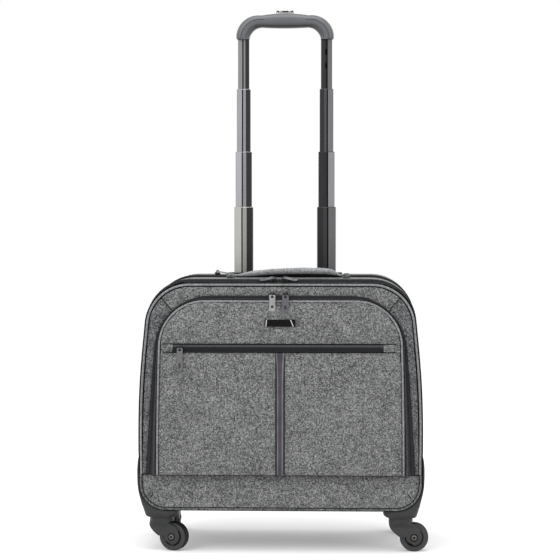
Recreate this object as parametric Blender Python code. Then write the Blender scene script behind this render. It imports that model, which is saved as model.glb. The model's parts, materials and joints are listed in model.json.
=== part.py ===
"""Rolling laptop case: fabric case on four casters, with a four-stage trolley.

Metres, +Z up. The floor is z = 0, the front faces -Y, and +X is to the right seen from the front.
"""

import math

import bmesh
import bpy
from mathutils import Matrix, Vector

# ---- driving dimensions ----
WALL = 0.0035
GAP = 0.0003
SEAM_GAP = 0.0015

CASE_HALF = 0.2225
SHOULDER_HALF = 0.2130
SIDE_STRAIGHT_TOP = 0.158
SHOULDER_RADIUS = 0.070
BOTTOM_RADIUS = 0.042
CASE_BOTTOM = 0.0655
SEAM_Z = 0.1225
FRONT_TOP = 0.4262
MIDDLE_TOP = 0.4290
REAR_TOP = 0.4325

LID_FRONT = -0.1080
LID_BACK = -0.0875
MIDDLE_FRONT = -0.0865
MIDDLE_BACK = 0.0245
REAR_FRONT = 0.0260
BACK = 0.1215
TRAY_FRONT = -0.1060

HINGE_Y = -0.1082
HINGE_Z = SEAM_Z + 0.0010

PANEL_BASE_Z = SEAM_Z + SEAM_GAP
PANEL_TOP = 0.3957
PANEL_HALF = 0.1925
PANEL_SHOULDER = 0.1895
PANEL_RADIUS = 0.070
PANEL_WALL = 0.0028
PANEL_BASE_Y = -0.1200
PANEL_TOP_Y = -0.1120
GUSSET_BASE_HALF = 0.2102
GUSSET_SHOULDER = 0.1968
GUSSET_TOP = 0.4050
GUSSET_RADIUS = 0.0765

TRIM_HALF_END = 0.0083
TRIM_HALF_MIDDLE = 0.0069
TRIM_TOP = 0.3120
BADGE_SIZE = (0.0480, 0.0120)
BADGE_Z = 0.3615
ZIP_BAND_SIZE = (0.3660, 0.0170)
ZIP_BAND_X = -0.0030

HANDLE_X = 0.0100
HANDLE_Y = (MIDDLE_FRONT + MIDDLE_BACK) / 2
HANDLE_AXIS_Z = MIDDLE_TOP + 0.0060
HANDLE_HALF = 0.0860
HANDLE_RISE = 0.0085
HANDLE_END = (0.0170, 0.0036)
HANDLE_MIDDLE = (0.0290, 0.0090)
ANCHOR_LENGTH = 0.0124
ANCHOR_SIZE = (0.0230, 0.0085)
DIVIDER_THICK = 0.0035
DIVIDER_CLEARANCE = 0.0015
DIVIDER_FOOT = (0.1880, 0.0800)
DIVIDER_WIDE_Z = 0.1300

TUBE_X = 0.069
TUBE_Y = 0.099
TUBE_SIZES = [(0.0355, 0.0260), (0.0311, 0.0224), (0.0268, 0.0186), (0.0226, 0.0149), (0.0185, 0.0112)]
TUBE_WALL = 0.0015
STAGE_TOPS = [0.4350, 0.5440, 0.6358, 0.7400, 0.8222]
FIXED_TUBE_TOP = REAR_TOP - WALL - GAP
BOARD_THICK = 0.0030
BOARD_HALF = 0.1750
FOOT_HALF = 0.0900
FOOT_HEIGHT = 0.0129
COVER_HALF = 0.1045
COVER_FRONT = 0.0800
COVER_WALL = 0.0020
BEZEL_WIDTH = 0.1900
BEZEL_DEPTH = 0.0370
HOLE_CLEARANCE = 0.0004
TUBE_OVERLAP = 0.055
GRIP_SOCKET_DEPTH = 0.018

GRIP_TOP = 0.8658
GRIP_CORNER_RADIUS = 0.0270
GRIP_BAR = 0.0245
GRIP_CORNER_BAR = 0.0190
GRIP_DEPTH = 0.0250
BUTTON_WIDTH = 0.0290
BUTTON_DEPTH = 0.0140
BUTTON_HEIGHT = 0.0085
BUTTON_PROUD = 0.0045
BUTTON_TRAVEL = 0.0035

CASTER_X = 0.189
CASTER_Y = {"front": -0.079, "rear": 0.087}
CASTER_TRAIL = 0.021
CASTER_TURN = {
    "front_left": math.radians(-17),
    "front_right": 0.0,
    "rear_left": math.radians(90),
    "rear_right": math.radians(90),
}
WHEEL_RADIUS = 0.0225
WHEEL_HALF_WIDTH = 0.0090
AXLE_RADIUS = 0.0030
HEAD_RADIUS = 0.0190
HEAD_TOP = 0.0532
HEAD_BOTTOM = 0.0430
HOUSING_BOTTOM = 0.0540
HOUSING_TOP = 0.1500
HOUSING_DEPTH = 0.0490
HOUSING_NECK_RADIUS = 0.0200
ARM_END_RADIUS = 0.0145
ARM_HALF = WHEEL_HALF_WIDTH + 0.0036
SCREW_HEAD_RADIUS = 0.0042

POCKET_ZIP_Z = 0.3215
POCKET_SLIDER_X = -0.1565
FRONT_ZIP_Z = 0.4045
FRONT_SLIDER_X = {"front_left": -0.0122, "front_right": 0.0084}
TOP_SLIDER_X = {"top_left": -0.0105, "top_right": 0.0050}
REAR_SLIDER_X = -0.1080
ZIP_FROM_EDGE = 0.0075
POCKET_PULL = (0.0100, 0.0340)
FRONT_PULL = (0.0120, 0.0310)
TOP_PULL = (0.0100, 0.0240)
REAR_PULL = (0.0100, 0.0280)
PULLER_WIDTH = 0.0106
PULLER_THICK = 0.0020
BAIL_BAR = 0.0008
BAIL_HOLE = 0.0017
BAIL_RADIUS = 0.0029
BAIL_WIDTH = 0.0016
SLIDER_HEIGHT = 0.0041
SLIDER_WIDTH = 0.0090

# name: red, green, blue, roughness, metallic
FINISHES = {
    "shell_fabric": (0.150, 0.150, 0.155, 0.90, 0.0),
    "lining": (0.030, 0.030, 0.033, 0.85, 0.0),
    "board": (0.060, 0.055, 0.050, 0.80, 0.0),
    "zip_tape": (0.022, 0.022, 0.025, 0.80, 0.0),
    "leatherette": (0.050, 0.046, 0.055, 0.35, 0.0),
    "badge": (0.012, 0.012, 0.012, 0.30, 0.2),
    "zip_metal": (0.170, 0.170, 0.175, 0.35, 1.0),
    "tube_metal": (0.400, 0.400, 0.410, 0.30, 1.0),
    "grip_plastic": (0.140, 0.140, 0.150, 0.40, 0.0),
    "button_plastic": (0.550, 0.550, 0.560, 0.30, 0.6),
    "caster_plastic": (0.055, 0.055, 0.058, 0.45, 0.0),
    "wheel_rubber": (0.040, 0.040, 0.042, 0.60, 0.0),
    "axle_steel": (0.550, 0.540, 0.520, 0.30, 1.0),
}


# ---- small tools ----
def clear_scene():
    for obj in list(bpy.data.objects):
        bpy.data.objects.remove(obj, do_unlink=True)


def finish_material(name):
    material = bpy.data.materials.get(name)
    if material:
        return material
    red, green, blue, roughness, metallic = FINISHES[name]
    material = bpy.data.materials.new(name)
    material.use_nodes = True
    shader = material.node_tree.nodes["Principled BSDF"]
    shader.inputs["Base Color"].default_value = (red, green, blue, 1.0)
    shader.inputs["Roughness"].default_value = roughness
    shader.inputs["Metallic"].default_value = metallic
    return material


def body(name, at=(0.0, 0.0, 0.0), parent=None):
    """An empty on a joint's axis, which the pieces of one moving body hang from."""
    empty = bpy.data.objects.new(name, None)
    bpy.context.collection.objects.link(empty)
    empty["at"] = at
    empty.parent = parent
    start = Vector(parent["at"]) if parent else Vector()
    empty.location = Vector(at) - start
    return empty


def add(name, bm, finish, owner, smooth=False):
    """Makes one node from a mesh built in world positions; its origin is its body's origin."""
    bmesh.ops.recalc_face_normals(bm, faces=bm.faces[:])
    if bm.calc_volume(signed=True) < 0:
        bmesh.ops.reverse_faces(bm, faces=bm.faces[:])
    origin = Vector(owner["at"])
    bmesh.ops.translate(bm, verts=bm.verts[:], vec=-origin)
    mesh = bpy.data.meshes.new(name)
    bm.to_mesh(mesh)
    bm.free()
    if smooth:
        mesh.shade_smooth()
        mesh.set_sharp_from_angle(angle=math.radians(40))
    obj = bpy.data.objects.new(name, mesh)
    bpy.context.collection.objects.link(obj)
    obj.parent = owner
    obj.data.materials.append(finish_material(finish))
    return obj


def combine(obj, bm, operation, name=None):
    """Joins or cuts obj with a mesh that is built in world positions."""
    name = name or obj.name + "_" + operation.lower()
    tool = add(name, bm, "lining", obj.parent)
    tool.hide_render = True
    tool.display_type = "WIRE"
    modifier = obj.modifiers.new(name, "BOOLEAN")
    modifier.operation = operation
    modifier.solver = "EXACT"
    modifier.object = tool


def along_z(z):
    return lambda u, v, w: (u, v, z + w)


def along_y(y):
    return lambda u, v, w: (u, y + w, v)


def along_x(x):
    return lambda u, v, w: (x + w, u, v)


def slab(loops, place, length):
    """A closed slab: the first loop is its outline and the others are holes through it."""
    bm = bmesh.new()
    edges = []
    for loop in loops:
        verts = [bm.verts.new((u, v, 0.0)) for u, v in loop]
        edges += [bm.edges.new((verts[i - 1], verts[i])) for i in range(len(verts))]
    if len(loops) == 1:
        faces = [bm.faces.new(bm.verts[:])]
    else:
        filled = bmesh.ops.triangle_fill(bm, use_beauty=True, edges=edges)
        faces = [item for item in filled["geom"] if isinstance(item, bmesh.types.BMFace)]
    pushed = bmesh.ops.extrude_face_region(bm, geom=faces, use_keep_orig=True)
    moved = [item for item in pushed["geom"] if isinstance(item, bmesh.types.BMVert)]
    bmesh.ops.translate(bm, verts=moved, vec=(0.0, 0.0, length))
    for vert in bm.verts:
        vert.co = place(*vert.co)
    return bm


def loft(rings, closed=False):
    """A closed skin over rings of points, with flat ends unless the rings close on themselves."""
    bm = bmesh.new()
    rows = [[bm.verts.new(point) for point in ring] for ring in rings]
    count = len(rows[0])
    pairs = list(zip(rows, rows[1:]))
    if closed:
        pairs.append((rows[-1], rows[0]))
    for low, high in pairs:
        for i in range(count):
            j = (i + 1) % count
            bm.faces.new((low[i], low[j], high[j], high[i]))
    if not closed:
        bm.faces.new(rows[0])
        bm.faces.new(rows[-1])
    return bm


def turned(profile, place, sides, closed=False):
    """A solid of revolution; profile is (radius, height) and place maps (u, v, w), w along the axis."""
    rings = []
    for radius, height in profile:
        angles = [2 * math.pi * i / sides for i in range(sides)]
        rings.append([place(radius * math.cos(a), radius * math.sin(a), height) for a in angles])
    return loft(rings, closed)


def rounded_box_outline(width, height, radius, steps=3):
    """A rectangle with round corners, centred on 0."""
    points = []
    for quarter, (sx, sy) in enumerate(((1, 1), (-1, 1), (-1, -1), (1, -1))):
        cx = sx * (width / 2 - radius)
        cy = sy * (height / 2 - radius)
        for i in range(steps + 1):
            angle = math.pi / 2 * (quarter + i / steps)
            points.append((cx + radius * math.cos(angle), cy + radius * math.sin(angle)))
    return points


def shifted(loop, du, dv):
    return [(u + du, v + dv) for u, v in loop]


def circle(radius, sides, du=0.0, dv=0.0):
    angles = [2 * math.pi * i / sides for i in range(sides)]
    return [(du + radius * math.cos(a), dv + radius * math.sin(a)) for a in angles]


def block(low, high):
    (x0, y0, z0), (x1, y1, z1) = low, high
    return slab([[(x0, y0), (x1, y0), (x1, y1), (x0, y1)]], along_z(z0), z1 - z0)


def arch(half, shoulder, z_base, z_straight, z_top, radius, steps=6):
    """Front outline of a section: straight foot, leaning sides and round shoulders, in (x, z)."""
    lean = math.atan2(half - shoulder, z_top - radius - z_straight)
    right = [(half, z_base), (half, z_straight)]
    for i in range(steps + 1):
        angle = lean + (math.pi / 2 - lean) * i / steps
        x = shoulder - radius + radius * math.cos(angle)
        right.append((x, z_top - radius + radius * math.sin(angle)))
    return right + [(-x, z) for x, z in reversed(right)]


def case_arch(z_base, z_top, inset=0.0):
    return arch(
        CASE_HALF - inset,
        SHOULDER_HALF - inset,
        z_base,
        SIDE_STRAIGHT_TOP,
        z_top - inset,
        SHOULDER_RADIUS - inset,
    )


def tray_outline(inset, z_top):
    """Front outline of the lower part of the case, with round bottom corners."""
    radius = BOTTOM_RADIUS - inset
    cx = CASE_HALF - BOTTOM_RADIUS
    cz = CASE_BOTTOM + BOTTOM_RADIUS
    right = [(CASE_HALF - inset, z_top)]
    for i in range(7):
        angle = -math.pi / 2 * i / 6
        right.append((cx + radius * math.cos(angle), cz + radius * math.sin(angle)))
    return right + [(-x, z) for x, z in reversed(right)]


def sides():
    return (("left", -1), ("right", 1))


# ---- fixed case ----
def stage_hole(sign):
    """The hole that the first moving stage slides through."""
    width, depth = TUBE_SIZES[1]
    hole = rounded_box_outline(width + 2 * HOLE_CLEARANCE, depth + 2 * HOLE_CLEARANCE, 0.0044)
    return shifted(hole, sign * TUBE_X, TUBE_Y)


def make_rear_shell(case):
    outer = case_arch(SEAM_Z + SEAM_GAP, REAR_TOP)
    shell = add("rear_shell", slab([outer], along_y(REAR_FRONT), BACK - REAR_FRONT), "shell_fabric", case)
    inner = case_arch(SEAM_Z - 0.020, REAR_TOP, WALL)
    depth = BACK - WALL - REAR_FRONT
    combine(shell, slab([inner], along_y(REAR_FRONT - 0.010), depth + 0.010), "DIFFERENCE")
    for side, sign in sides():
        hole = slab([stage_hole(sign)], along_z(REAR_TOP - 0.010), 0.020)
        combine(shell, hole, "DIFFERENCE", "tube_hole_" + side)


def make_lower_tray(case):
    outer = tray_outline(0.0, SEAM_Z)
    tray = add("lower_tray", slab([outer], along_y(TRAY_FRONT), BACK - TRAY_FRONT), "shell_fabric", case)
    inner = tray_outline(WALL, SEAM_Z + 0.010)
    hollow = slab([inner], along_y(TRAY_FRONT + WALL), BACK - TRAY_FRONT - 2 * WALL)
    combine(tray, hollow, "DIFFERENCE")


def make_inside(case):
    """The base board, the foot under the trolley tubes and the cover in front of them."""
    board_low = CASE_BOTTOM + WALL + GAP
    board_high = board_low + BOARD_THICK
    board = block((-BOARD_HALF, -0.098, board_low), (BOARD_HALF, 0.113, board_high))
    add("base_board", board, "board", case)
    foot_high = board_high + GAP + FOOT_HEIGHT
    foot = block((-FOOT_HALF, 0.086, board_high + GAP), (FOOT_HALF, 0.112, foot_high))
    add("trolley_foot", foot, "grip_plastic", case)
    half = COVER_HALF
    front = COVER_FRONT
    skin = COVER_WALL
    flange = BACK - WALL - 0.0008
    channel = [
        (-half, front),
        (half, front),
        (half, flange),
        (half - skin, flange),
        (half - skin, front + skin),
        (skin - half, front + skin),
        (skin - half, flange),
        (-half, flange),
    ]
    cover_low = board_high + GAP
    add("trolley_cover", slab([channel], along_z(cover_low), FIXED_TUBE_TOP - cover_low), "lining", case)
    for side, sign in sides():
        shape = tube(TUBE_SIZES[0], foot_high + GAP, FIXED_TUBE_TOP, sign)
        add("fixed_tube_" + side, shape, "tube_metal", case, smooth=True)


def make_trolley_bezel(case):
    outline = shifted(rounded_box_outline(BEZEL_WIDTH, BEZEL_DEPTH, 0.010), 0.0, TUBE_Y)
    holes = [stage_hole(sign) for _, sign in sides()]
    bottom = REAR_TOP + GAP
    bezel = slab([outline] + holes, along_z(bottom), STAGE_TOPS[0] - bottom)
    add("trolley_bezel", bezel, "caster_plastic", case)


def make_corner_housings(case):
    """A plastic cup under each bottom corner, with a wall that wraps up the side of the case."""
    inner = [(x, z) for x, z in tray_outline(-GAP, HOUSING_TOP) if x > 0]
    neck = HOUSING_NECK_RADIUS
    outer_x = CASE_HALF + 0.0035
    outer = [
        (CASTER_X - 0.0265, CASE_BOTTOM - GAP),
        (CASTER_X - 0.0265, HOUSING_BOTTOM + 0.0070),
        (CASTER_X - neck + 0.0010, HOUSING_BOTTOM),
        (CASTER_X + neck, HOUSING_BOTTOM),
        (CASTER_X + neck + 0.0050, HOUSING_BOTTOM + 0.0040),
        (CASE_HALF, CASE_BOTTOM + 0.0220),
        (outer_x, CASE_BOTTOM + 0.0440),
        (outer_x, HOUSING_TOP - 0.0040),
        (outer_x - 0.0015, HOUSING_TOP),
    ]
    for end, y_axis in CASTER_Y.items():
        for side, sign in sides():
            outline = [(sign * x, z) for x, z in inner + outer]
            cup = slab([outline], along_y(y_axis - HOUSING_DEPTH / 2), HOUSING_DEPTH)
            housing = add(f"corner_housing_{end}_{side}", cup, "caster_plastic", case)
            boss_low = HOUSING_BOTTOM - 0.0004
            boss = slab([circle(neck, 20, sign * CASTER_X, y_axis)], along_z(boss_low), 0.0089)
            combine(housing, boss, "UNION")


# ---- casters ----
def caster_frame(end, side, sign):
    """Maps a caster's own frame, with the trail along +u, to the world."""
    turn = Matrix.Rotation(CASTER_TURN[f"{end}_{side}"], 3, "Z")
    centre = Vector((sign * CASTER_X, CASTER_Y[end], 0.0))
    return lambda u, v, w: tuple(turn @ Vector((u, v, w)) + centre)


def fork_outline():
    """Side view of the fork: flat top, and a sweep down to the round end at the axle."""
    points = [(0.0170, 0.0500), (-0.0175, 0.0500), (-0.0175, 0.0400)]
    start, bend, finish = Vector((-0.0175, 0.0400)), Vector((-0.0140, 0.0290)), Vector((0.0090, 0.0145))
    for i in range(1, 5):
        t = i / 5
        points.append(tuple((1 - t) ** 2 * start + 2 * t * (1 - t) * bend + t**2 * finish))
    for i in range(9):
        angle = math.radians(212 + i * 22)
        points.append((CASTER_TRAIL + 0.0145 * math.cos(angle), WHEEL_RADIUS + 0.0145 * math.sin(angle)))
    return points


def mirrored(profile):
    """A turned profile and its mirror image about height 0."""
    return profile + [(radius, -height) for radius, height in reversed(profile)]


def make_caster(end, side, sign, case):
    place = caster_frame(end, side, sign)
    tag = f"{end}_{side}"
    swivel = body("swivel_" + tag, place(0.0, 0.0, HEAD_TOP), case)
    spin = body("spin_" + tag, place(CASTER_TRAIL, 0.0, WHEEL_RADIUS), swivel)

    def across(u, v, w):
        return place(u, w - ARM_HALF, v)

    def around_axle(u, v, w):
        return place(CASTER_TRAIL + u, w, WHEEL_RADIUS + v)

    fork = add("caster_fork_" + tag, slab([fork_outline()], across, 2 * ARM_HALF), "caster_plastic", swivel, True)
    head = turned([(HEAD_RADIUS, HEAD_TOP), (HEAD_RADIUS, HEAD_BOTTOM)], place, 24)
    combine(fork, head, "UNION")
    slot_half = WHEEL_HALF_WIDTH + 0.0006
    bore = AXLE_RADIUS + GAP
    hollow = [(bore, -ARM_HALF - 0.004), (bore, -slot_half), (WHEEL_RADIUS + 0.0012, -slot_half)]
    combine(fork, turned(mirrored(hollow), around_axle, 24), "DIFFERENCE")

    screw_low = -ARM_HALF - GAP
    screw = [(SCREW_HEAD_RADIUS, -ARM_HALF - 0.0012), (SCREW_HEAD_RADIUS, screw_low), (AXLE_RADIUS, screw_low)]
    add("caster_axle_" + tag, turned(mirrored(screw), around_axle, 12), "axle_steel", swivel, True)

    edge = 0.0025
    tyre = [
        (bore, -WHEEL_HALF_WIDTH),
        (WHEEL_RADIUS - edge, -WHEEL_HALF_WIDTH),
        (WHEEL_RADIUS, edge - WHEEL_HALF_WIDTH),
    ]
    wheel = turned(mirrored(tyre), around_axle, 24, closed=True)
    add("caster_wheel_" + tag, wheel, "wheel_rubber", spin, True)


# ---- sections that open forward ----
def make_middle(middle):
    outer = case_arch(SEAM_Z + SEAM_GAP, MIDDLE_TOP)
    inner = case_arch(SEAM_Z + SEAM_GAP, MIDDLE_TOP, WALL)
    band = outer + inner[::-1]
    shell = slab([band], along_y(MIDDLE_FRONT), MIDDLE_BACK - MIDDLE_FRONT)
    add("middle_shell", shell, "shell_fabric", middle)
    inset = WALL + DIVIDER_CLEARANCE
    foot_half, foot_z = DIVIDER_FOOT
    wide = arch(
        CASE_HALF - inset,
        SHOULDER_HALF - inset,
        DIVIDER_WIDE_Z,
        SIDE_STRAIGHT_TOP,
        MIDDLE_TOP - inset,
        SHOULDER_RADIUS - inset,
    )
    outline = [(foot_half, foot_z)] + wide + [(-foot_half, foot_z)]
    divider = slab([outline], along_y(MIDDLE_BACK - 0.0060), DIVIDER_THICK)
    add("laptop_divider", divider, "lining", middle)
    depth, height = ANCHOR_SIZE
    for side, sign in sides():
        reach = HANDLE_HALF + 0.0006
        low = HANDLE_X + (reach if sign > 0 else -reach - ANCHOR_LENGTH)
        outline = rounded_box_outline(depth, height, 0.0030, 2)
        outline = shifted(outline, HANDLE_Y, MIDDLE_TOP + GAP + height / 2)
        anchor = slab([outline], along_x(low), ANCHOR_LENGTH)
        add("handle_anchor_" + side, anchor, "shell_fabric", middle, True)


def make_carry_handle(handle):
    """A padded strap: flat at its ends, thick and arched in the middle."""
    rings = []
    stations = 14
    for i in range(stations + 1):
        t = -1 + 2 * i / stations
        swell = (1 - t * t) ** 0.6
        width = HANDLE_END[0] + (HANDLE_MIDDLE[0] - HANDLE_END[0]) * swell
        thick = HANDLE_END[1] + (HANDLE_MIDDLE[1] - HANDLE_END[1]) * swell
        z = HANDLE_AXIS_Z + HANDLE_RISE * (1 - t * t)
        outline = rounded_box_outline(width, thick, thick * 0.45, 2)
        rings.append([(HANDLE_X + t * HANDLE_HALF, HANDLE_Y + u, z + v) for u, v in outline])
    add("carry_handle", loft(rings), "shell_fabric", handle, smooth=True)


def make_front_lid(lid):
    outer = case_arch(SEAM_Z + SEAM_GAP, FRONT_TOP)
    shell = add("front_lid", slab([outer], along_y(LID_FRONT), LID_BACK - LID_FRONT), "shell_fabric", lid)
    inner = case_arch(SEAM_Z - 0.020, FRONT_TOP, WALL)
    hollow = slab([inner], along_y(LID_FRONT + WALL), LID_BACK - LID_FRONT)
    combine(shell, hollow, "DIFFERENCE")


def panel_y(z):
    """Front face of the pocket panel, which stands furthest out at its foot."""
    part = (z - PANEL_BASE_Z) / (PANEL_TOP - PANEL_BASE_Z)
    return PANEL_BASE_Y + (PANEL_TOP_Y - PANEL_BASE_Y) * part


def make_pocket_panel(pocket):
    base = PANEL_BASE_Z
    back = LID_FRONT - GAP
    gusset = arch(GUSSET_BASE_HALF, GUSSET_SHOULDER, base, base + 0.004, GUSSET_TOP, GUSSET_RADIUS)
    face = arch(PANEL_HALF, PANEL_SHOULDER, base, base + 0.004, PANEL_TOP, PANEL_RADIUS)
    t = PANEL_WALL
    inner_base = base + t
    inner_gusset = arch(
        GUSSET_BASE_HALF - t, GUSSET_SHOULDER - t, inner_base, base + 0.006, GUSSET_TOP - t, GUSSET_RADIUS - t
    )
    inner_face = arch(
        PANEL_HALF - t, PANEL_SHOULDER - t, inner_base, base + 0.006, PANEL_TOP - t, PANEL_RADIUS - t
    )
    rings = [
        [(x, panel_y(z) + t, z) for x, z in inner_face],
        [(x, back, z) for x, z in inner_gusset],
        [(x, back, z) for x, z in gusset],
        [(x, panel_y(z), z) for x, z in face],
    ]
    add("pocket_panel", loft(rings), "shell_fabric", pocket)


def on_panel(outline, proud, lift=GAP):
    """A thin piece that lies on the pocket panel's front face."""
    rings = []
    for out in (lift, lift + proud):
        rings.append([(x, panel_y(z) - out, z) for x, z in outline])
    return loft(rings)


def make_panel_trim(pocket):
    low = PANEL_BASE_Z + 0.0005
    steps = 8
    right = []
    for i in range(steps + 1):
        t = -1 + 2 * i / steps
        half = TRIM_HALF_MIDDLE + (TRIM_HALF_END - TRIM_HALF_MIDDLE) * t**4
        right.append((half, low + (TRIM_TOP - low) * i / steps))
    trim = right + [(-x, z) for x, z in reversed(right)]
    add("centre_trim", on_panel(trim, 0.0016), "leatherette", pocket)
    badge = shifted(rounded_box_outline(*BADGE_SIZE, 0.0012, 2), 0.0, BADGE_Z)
    add("badge_plate", on_panel(badge, 0.0014), "badge", pocket)
    band = shifted(rounded_box_outline(*ZIP_BAND_SIZE, 0.0030, 2), ZIP_BAND_X, POCKET_ZIP_Z)
    add("pocket_zip_band", on_panel(band, 0.0008), "zip_tape", pocket)


# ---- zip sliders and pullers ----
def slider_place(origin, out, down, turn_axis):
    """Maps a slider's frame (along the turn axis, down the puller, out of the fabric) to the world."""
    origin, out, down, axis = Vector(origin), Vector(out), Vector(down), Vector(turn_axis)
    return lambda u, v, w: tuple(origin + axis * u + down * v + out * w)


def make_slider(name, place, length, slide_body):
    """A block on the zip with a bail over it; v = 0 and w = 0 are the puller's pivot and the fabric."""
    middle = (length - SLIDER_WIDTH) / 2
    pivot = SLIDER_HEIGHT + BAIL_HOLE

    def on_zip(u, v, w):
        return place(u, v + middle, GAP + w)

    def around_pivot(u, v, w):
        return place(w - BAIL_WIDTH / 2, u, pivot + v)

    shape = slab([rounded_box_outline(SLIDER_WIDTH, length, 0.0020, 1)], on_zip, SLIDER_HEIGHT - GAP)
    slider = add("slider_" + name, shape, "zip_metal", slide_body)
    bail = slab([circle(BAIL_RADIUS, 12), circle(BAIL_HOLE, 12)], around_pivot, BAIL_WIDTH)
    combine(slider, bail, "UNION")


def make_puller(name, place, length, puller_body):
    """A flat tab that swings on a bar inside the bail, with a hole near its free end."""
    half = PULLER_WIDTH / 2
    top = -BAIL_BAR
    end = length - BAIL_BAR
    outline = [
        (-half + 0.0015, top),
        (half - 0.0015, top),
        (half, top + 0.0015),
        (half, end - 0.0030),
        (half - 0.0030, end),
        (-half + 0.0030, end),
        (-half, end - 0.0030),
        (-half, top + 0.0015),
    ]
    slot_half = BAIL_WIDTH / 2 + 0.0008
    slot_end = BAIL_RADIUS + 0.0007
    slot = [(-slot_half, BAIL_BAR), (slot_half, BAIL_BAR), (slot_half, slot_end), (-slot_half, slot_end)]
    hole = circle(0.0021, 8, 0.0, end - 0.0058)
    back = SLIDER_HEIGHT + BAIL_HOLE - PULLER_THICK / 2

    def over_slider(u, v, w):
        return place(u, v, back + w)

    add("puller_" + name, slab([outline, slot, hole], over_slider, PULLER_THICK), "zip_metal", puller_body)


def make_zip_pull(name, origin, directions, sizes, carrier):
    """A slider and its puller; directions are out of the fabric, down the puller and the turn axis."""
    slider_length, puller_length = sizes
    place = slider_place(origin, *directions)
    slide_body = body("zip_" + name, origin, carrier)
    puller_body = body("swing_" + name, place(0.0, 0.0, SLIDER_HEIGHT + BAIL_HOLE), slide_body)
    make_slider(name, place, slider_length, slide_body)
    make_puller(name, place, puller_length, puller_body)


def make_zip_pulls(case, lid, pocket):
    front, back = (0, -1, 0), (0, 1, 0)
    down, up = (0, 0, -1), (0, 0, 1)
    right, left = (1, 0, 0), (-1, 0, 0)
    hanging = (front, down, right)
    pocket_y = panel_y(POCKET_ZIP_Z - 0.006) - 0.0010
    make_zip_pull("pocket", (POCKET_SLIDER_X, pocket_y, POCKET_ZIP_Z), hanging, POCKET_PULL, pocket)
    for name, x in FRONT_SLIDER_X.items():
        make_zip_pull(name, (x, PANEL_TOP_Y, FRONT_ZIP_Z), hanging, FRONT_PULL, pocket)
    for (name, x), outward in zip(TOP_SLIDER_X.items(), (left, right)):
        make_zip_pull(name, (x, LID_BACK - ZIP_FROM_EDGE, FRONT_TOP), (up, outward, back), TOP_PULL, lid)
    rear_place = (REAR_SLIDER_X, REAR_FRONT + ZIP_FROM_EDGE, REAR_TOP)
    make_zip_pull("rear", rear_place, (up, right, back), REAR_PULL, case)


# ---- trolley ----
def tube(size, z_low, z_high, sign):
    width, depth = size
    radius = width * 0.13 + 0.0010
    outer = rounded_box_outline(width, depth, radius)
    inner = rounded_box_outline(width - 2 * TUBE_WALL, depth - 2 * TUBE_WALL, radius - 0.0008)
    loops = [shifted(loop, sign * TUBE_X, TUBE_Y) for loop in (outer, inner)]
    return slab(loops, along_z(z_low), z_high - z_low)


def make_stages(case):
    carrier = case
    outlet = FIXED_TUBE_TOP
    for stage in range(1, 5):
        top = STAGE_TOPS[stage]
        carrier = body(f"stage_{stage}", (0.0, TUBE_Y, top), carrier)
        tube_top = top + GRIP_SOCKET_DEPTH - 0.001 if stage == 4 else top
        for side, sign in sides():
            shape = tube(TUBE_SIZES[stage], outlet - TUBE_OVERLAP, tube_top, sign)
            add(f"stage_{stage}_tube_{side}", shape, "tube_metal", carrier, smooth=True)
        outlet = top
    return carrier


def grip_path():
    """Centre line of the grip as (x, z, tangent angle, size across the bar)."""
    leg = TUBE_SIZES[4][0] + 0.0012
    radius = GRIP_CORNER_RADIUS
    reach = TUBE_X - radius
    bar_z = GRIP_TOP - GRIP_BAR / 2
    corner_z = bar_z - 0.0012 - radius
    points = [(-TUBE_X, STAGE_TOPS[4], math.pi / 2, leg)]
    for i in range(6):
        turn = math.pi / 2 * i / 5
        swell = (GRIP_CORNER_BAR + 0.0015 - leg) * math.sin(turn) + 0.0030 * math.sin(2 * turn)
        x = -reach - radius * math.cos(turn)
        points.append((x, corner_z + radius * math.sin(turn), math.pi / 2 - turn, leg + swell))
    for i in range(1, 6):
        t = -1 + i / 5
        bulge = 1 - t * t
        size = GRIP_CORNER_BAR + (GRIP_BAR - GRIP_CORNER_BAR) * bulge
        points.append((t * reach, bar_z - 0.0012 * (1 - bulge), 0.0, size))
    right = [(-x, z, -angle, size) for x, z, angle, size in reversed(points[:-1])]
    return points + right


def make_grip(top_stage):
    rings = []
    for x, z, angle, size in grip_path():
        outline = rounded_box_outline(size, GRIP_DEPTH, min(size, GRIP_DEPTH) * 0.38, 2)
        across = (-math.sin(angle), math.cos(angle))
        rings.append([(x + u * across[0], TUBE_Y + v, z + u * across[1]) for u, v in outline])
    grip = add("grip", loft(rings), "grip_plastic", top_stage, smooth=True)
    width, depth = TUBE_SIZES[4]
    for side, sign in sides():
        outline = rounded_box_outline(width + 0.0007, depth + 0.0007, 0.0030)
        outline = shifted(outline, sign * TUBE_X, TUBE_Y)
        socket = slab([outline], along_z(STAGE_TOPS[4] - 0.004), GRIP_SOCKET_DEPTH + 0.004)
        combine(grip, socket, "DIFFERENCE", "grip_socket_" + side)
    well_low = GRIP_TOP + BUTTON_PROUD - BUTTON_HEIGHT - BUTTON_TRAVEL - 0.0005
    outline = shifted(rounded_box_outline(BUTTON_WIDTH + 2 * GAP, BUTTON_DEPTH + 2 * GAP, 0.0035, 2), 0.0, TUBE_Y)
    combine(grip, slab([outline], along_z(well_low), 0.020), "DIFFERENCE", "button_well")


def make_release_button(top_stage):
    top = GRIP_TOP + BUTTON_PROUD
    press = body("button_press", (0.0, TUBE_Y, top), top_stage)
    outline = shifted(rounded_box_outline(BUTTON_WIDTH, BUTTON_DEPTH, 0.0032, 2), 0.0, TUBE_Y)
    add("release_button", slab([outline], along_z(top - BUTTON_HEIGHT), BUTTON_HEIGHT), "button_plastic", press)


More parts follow.
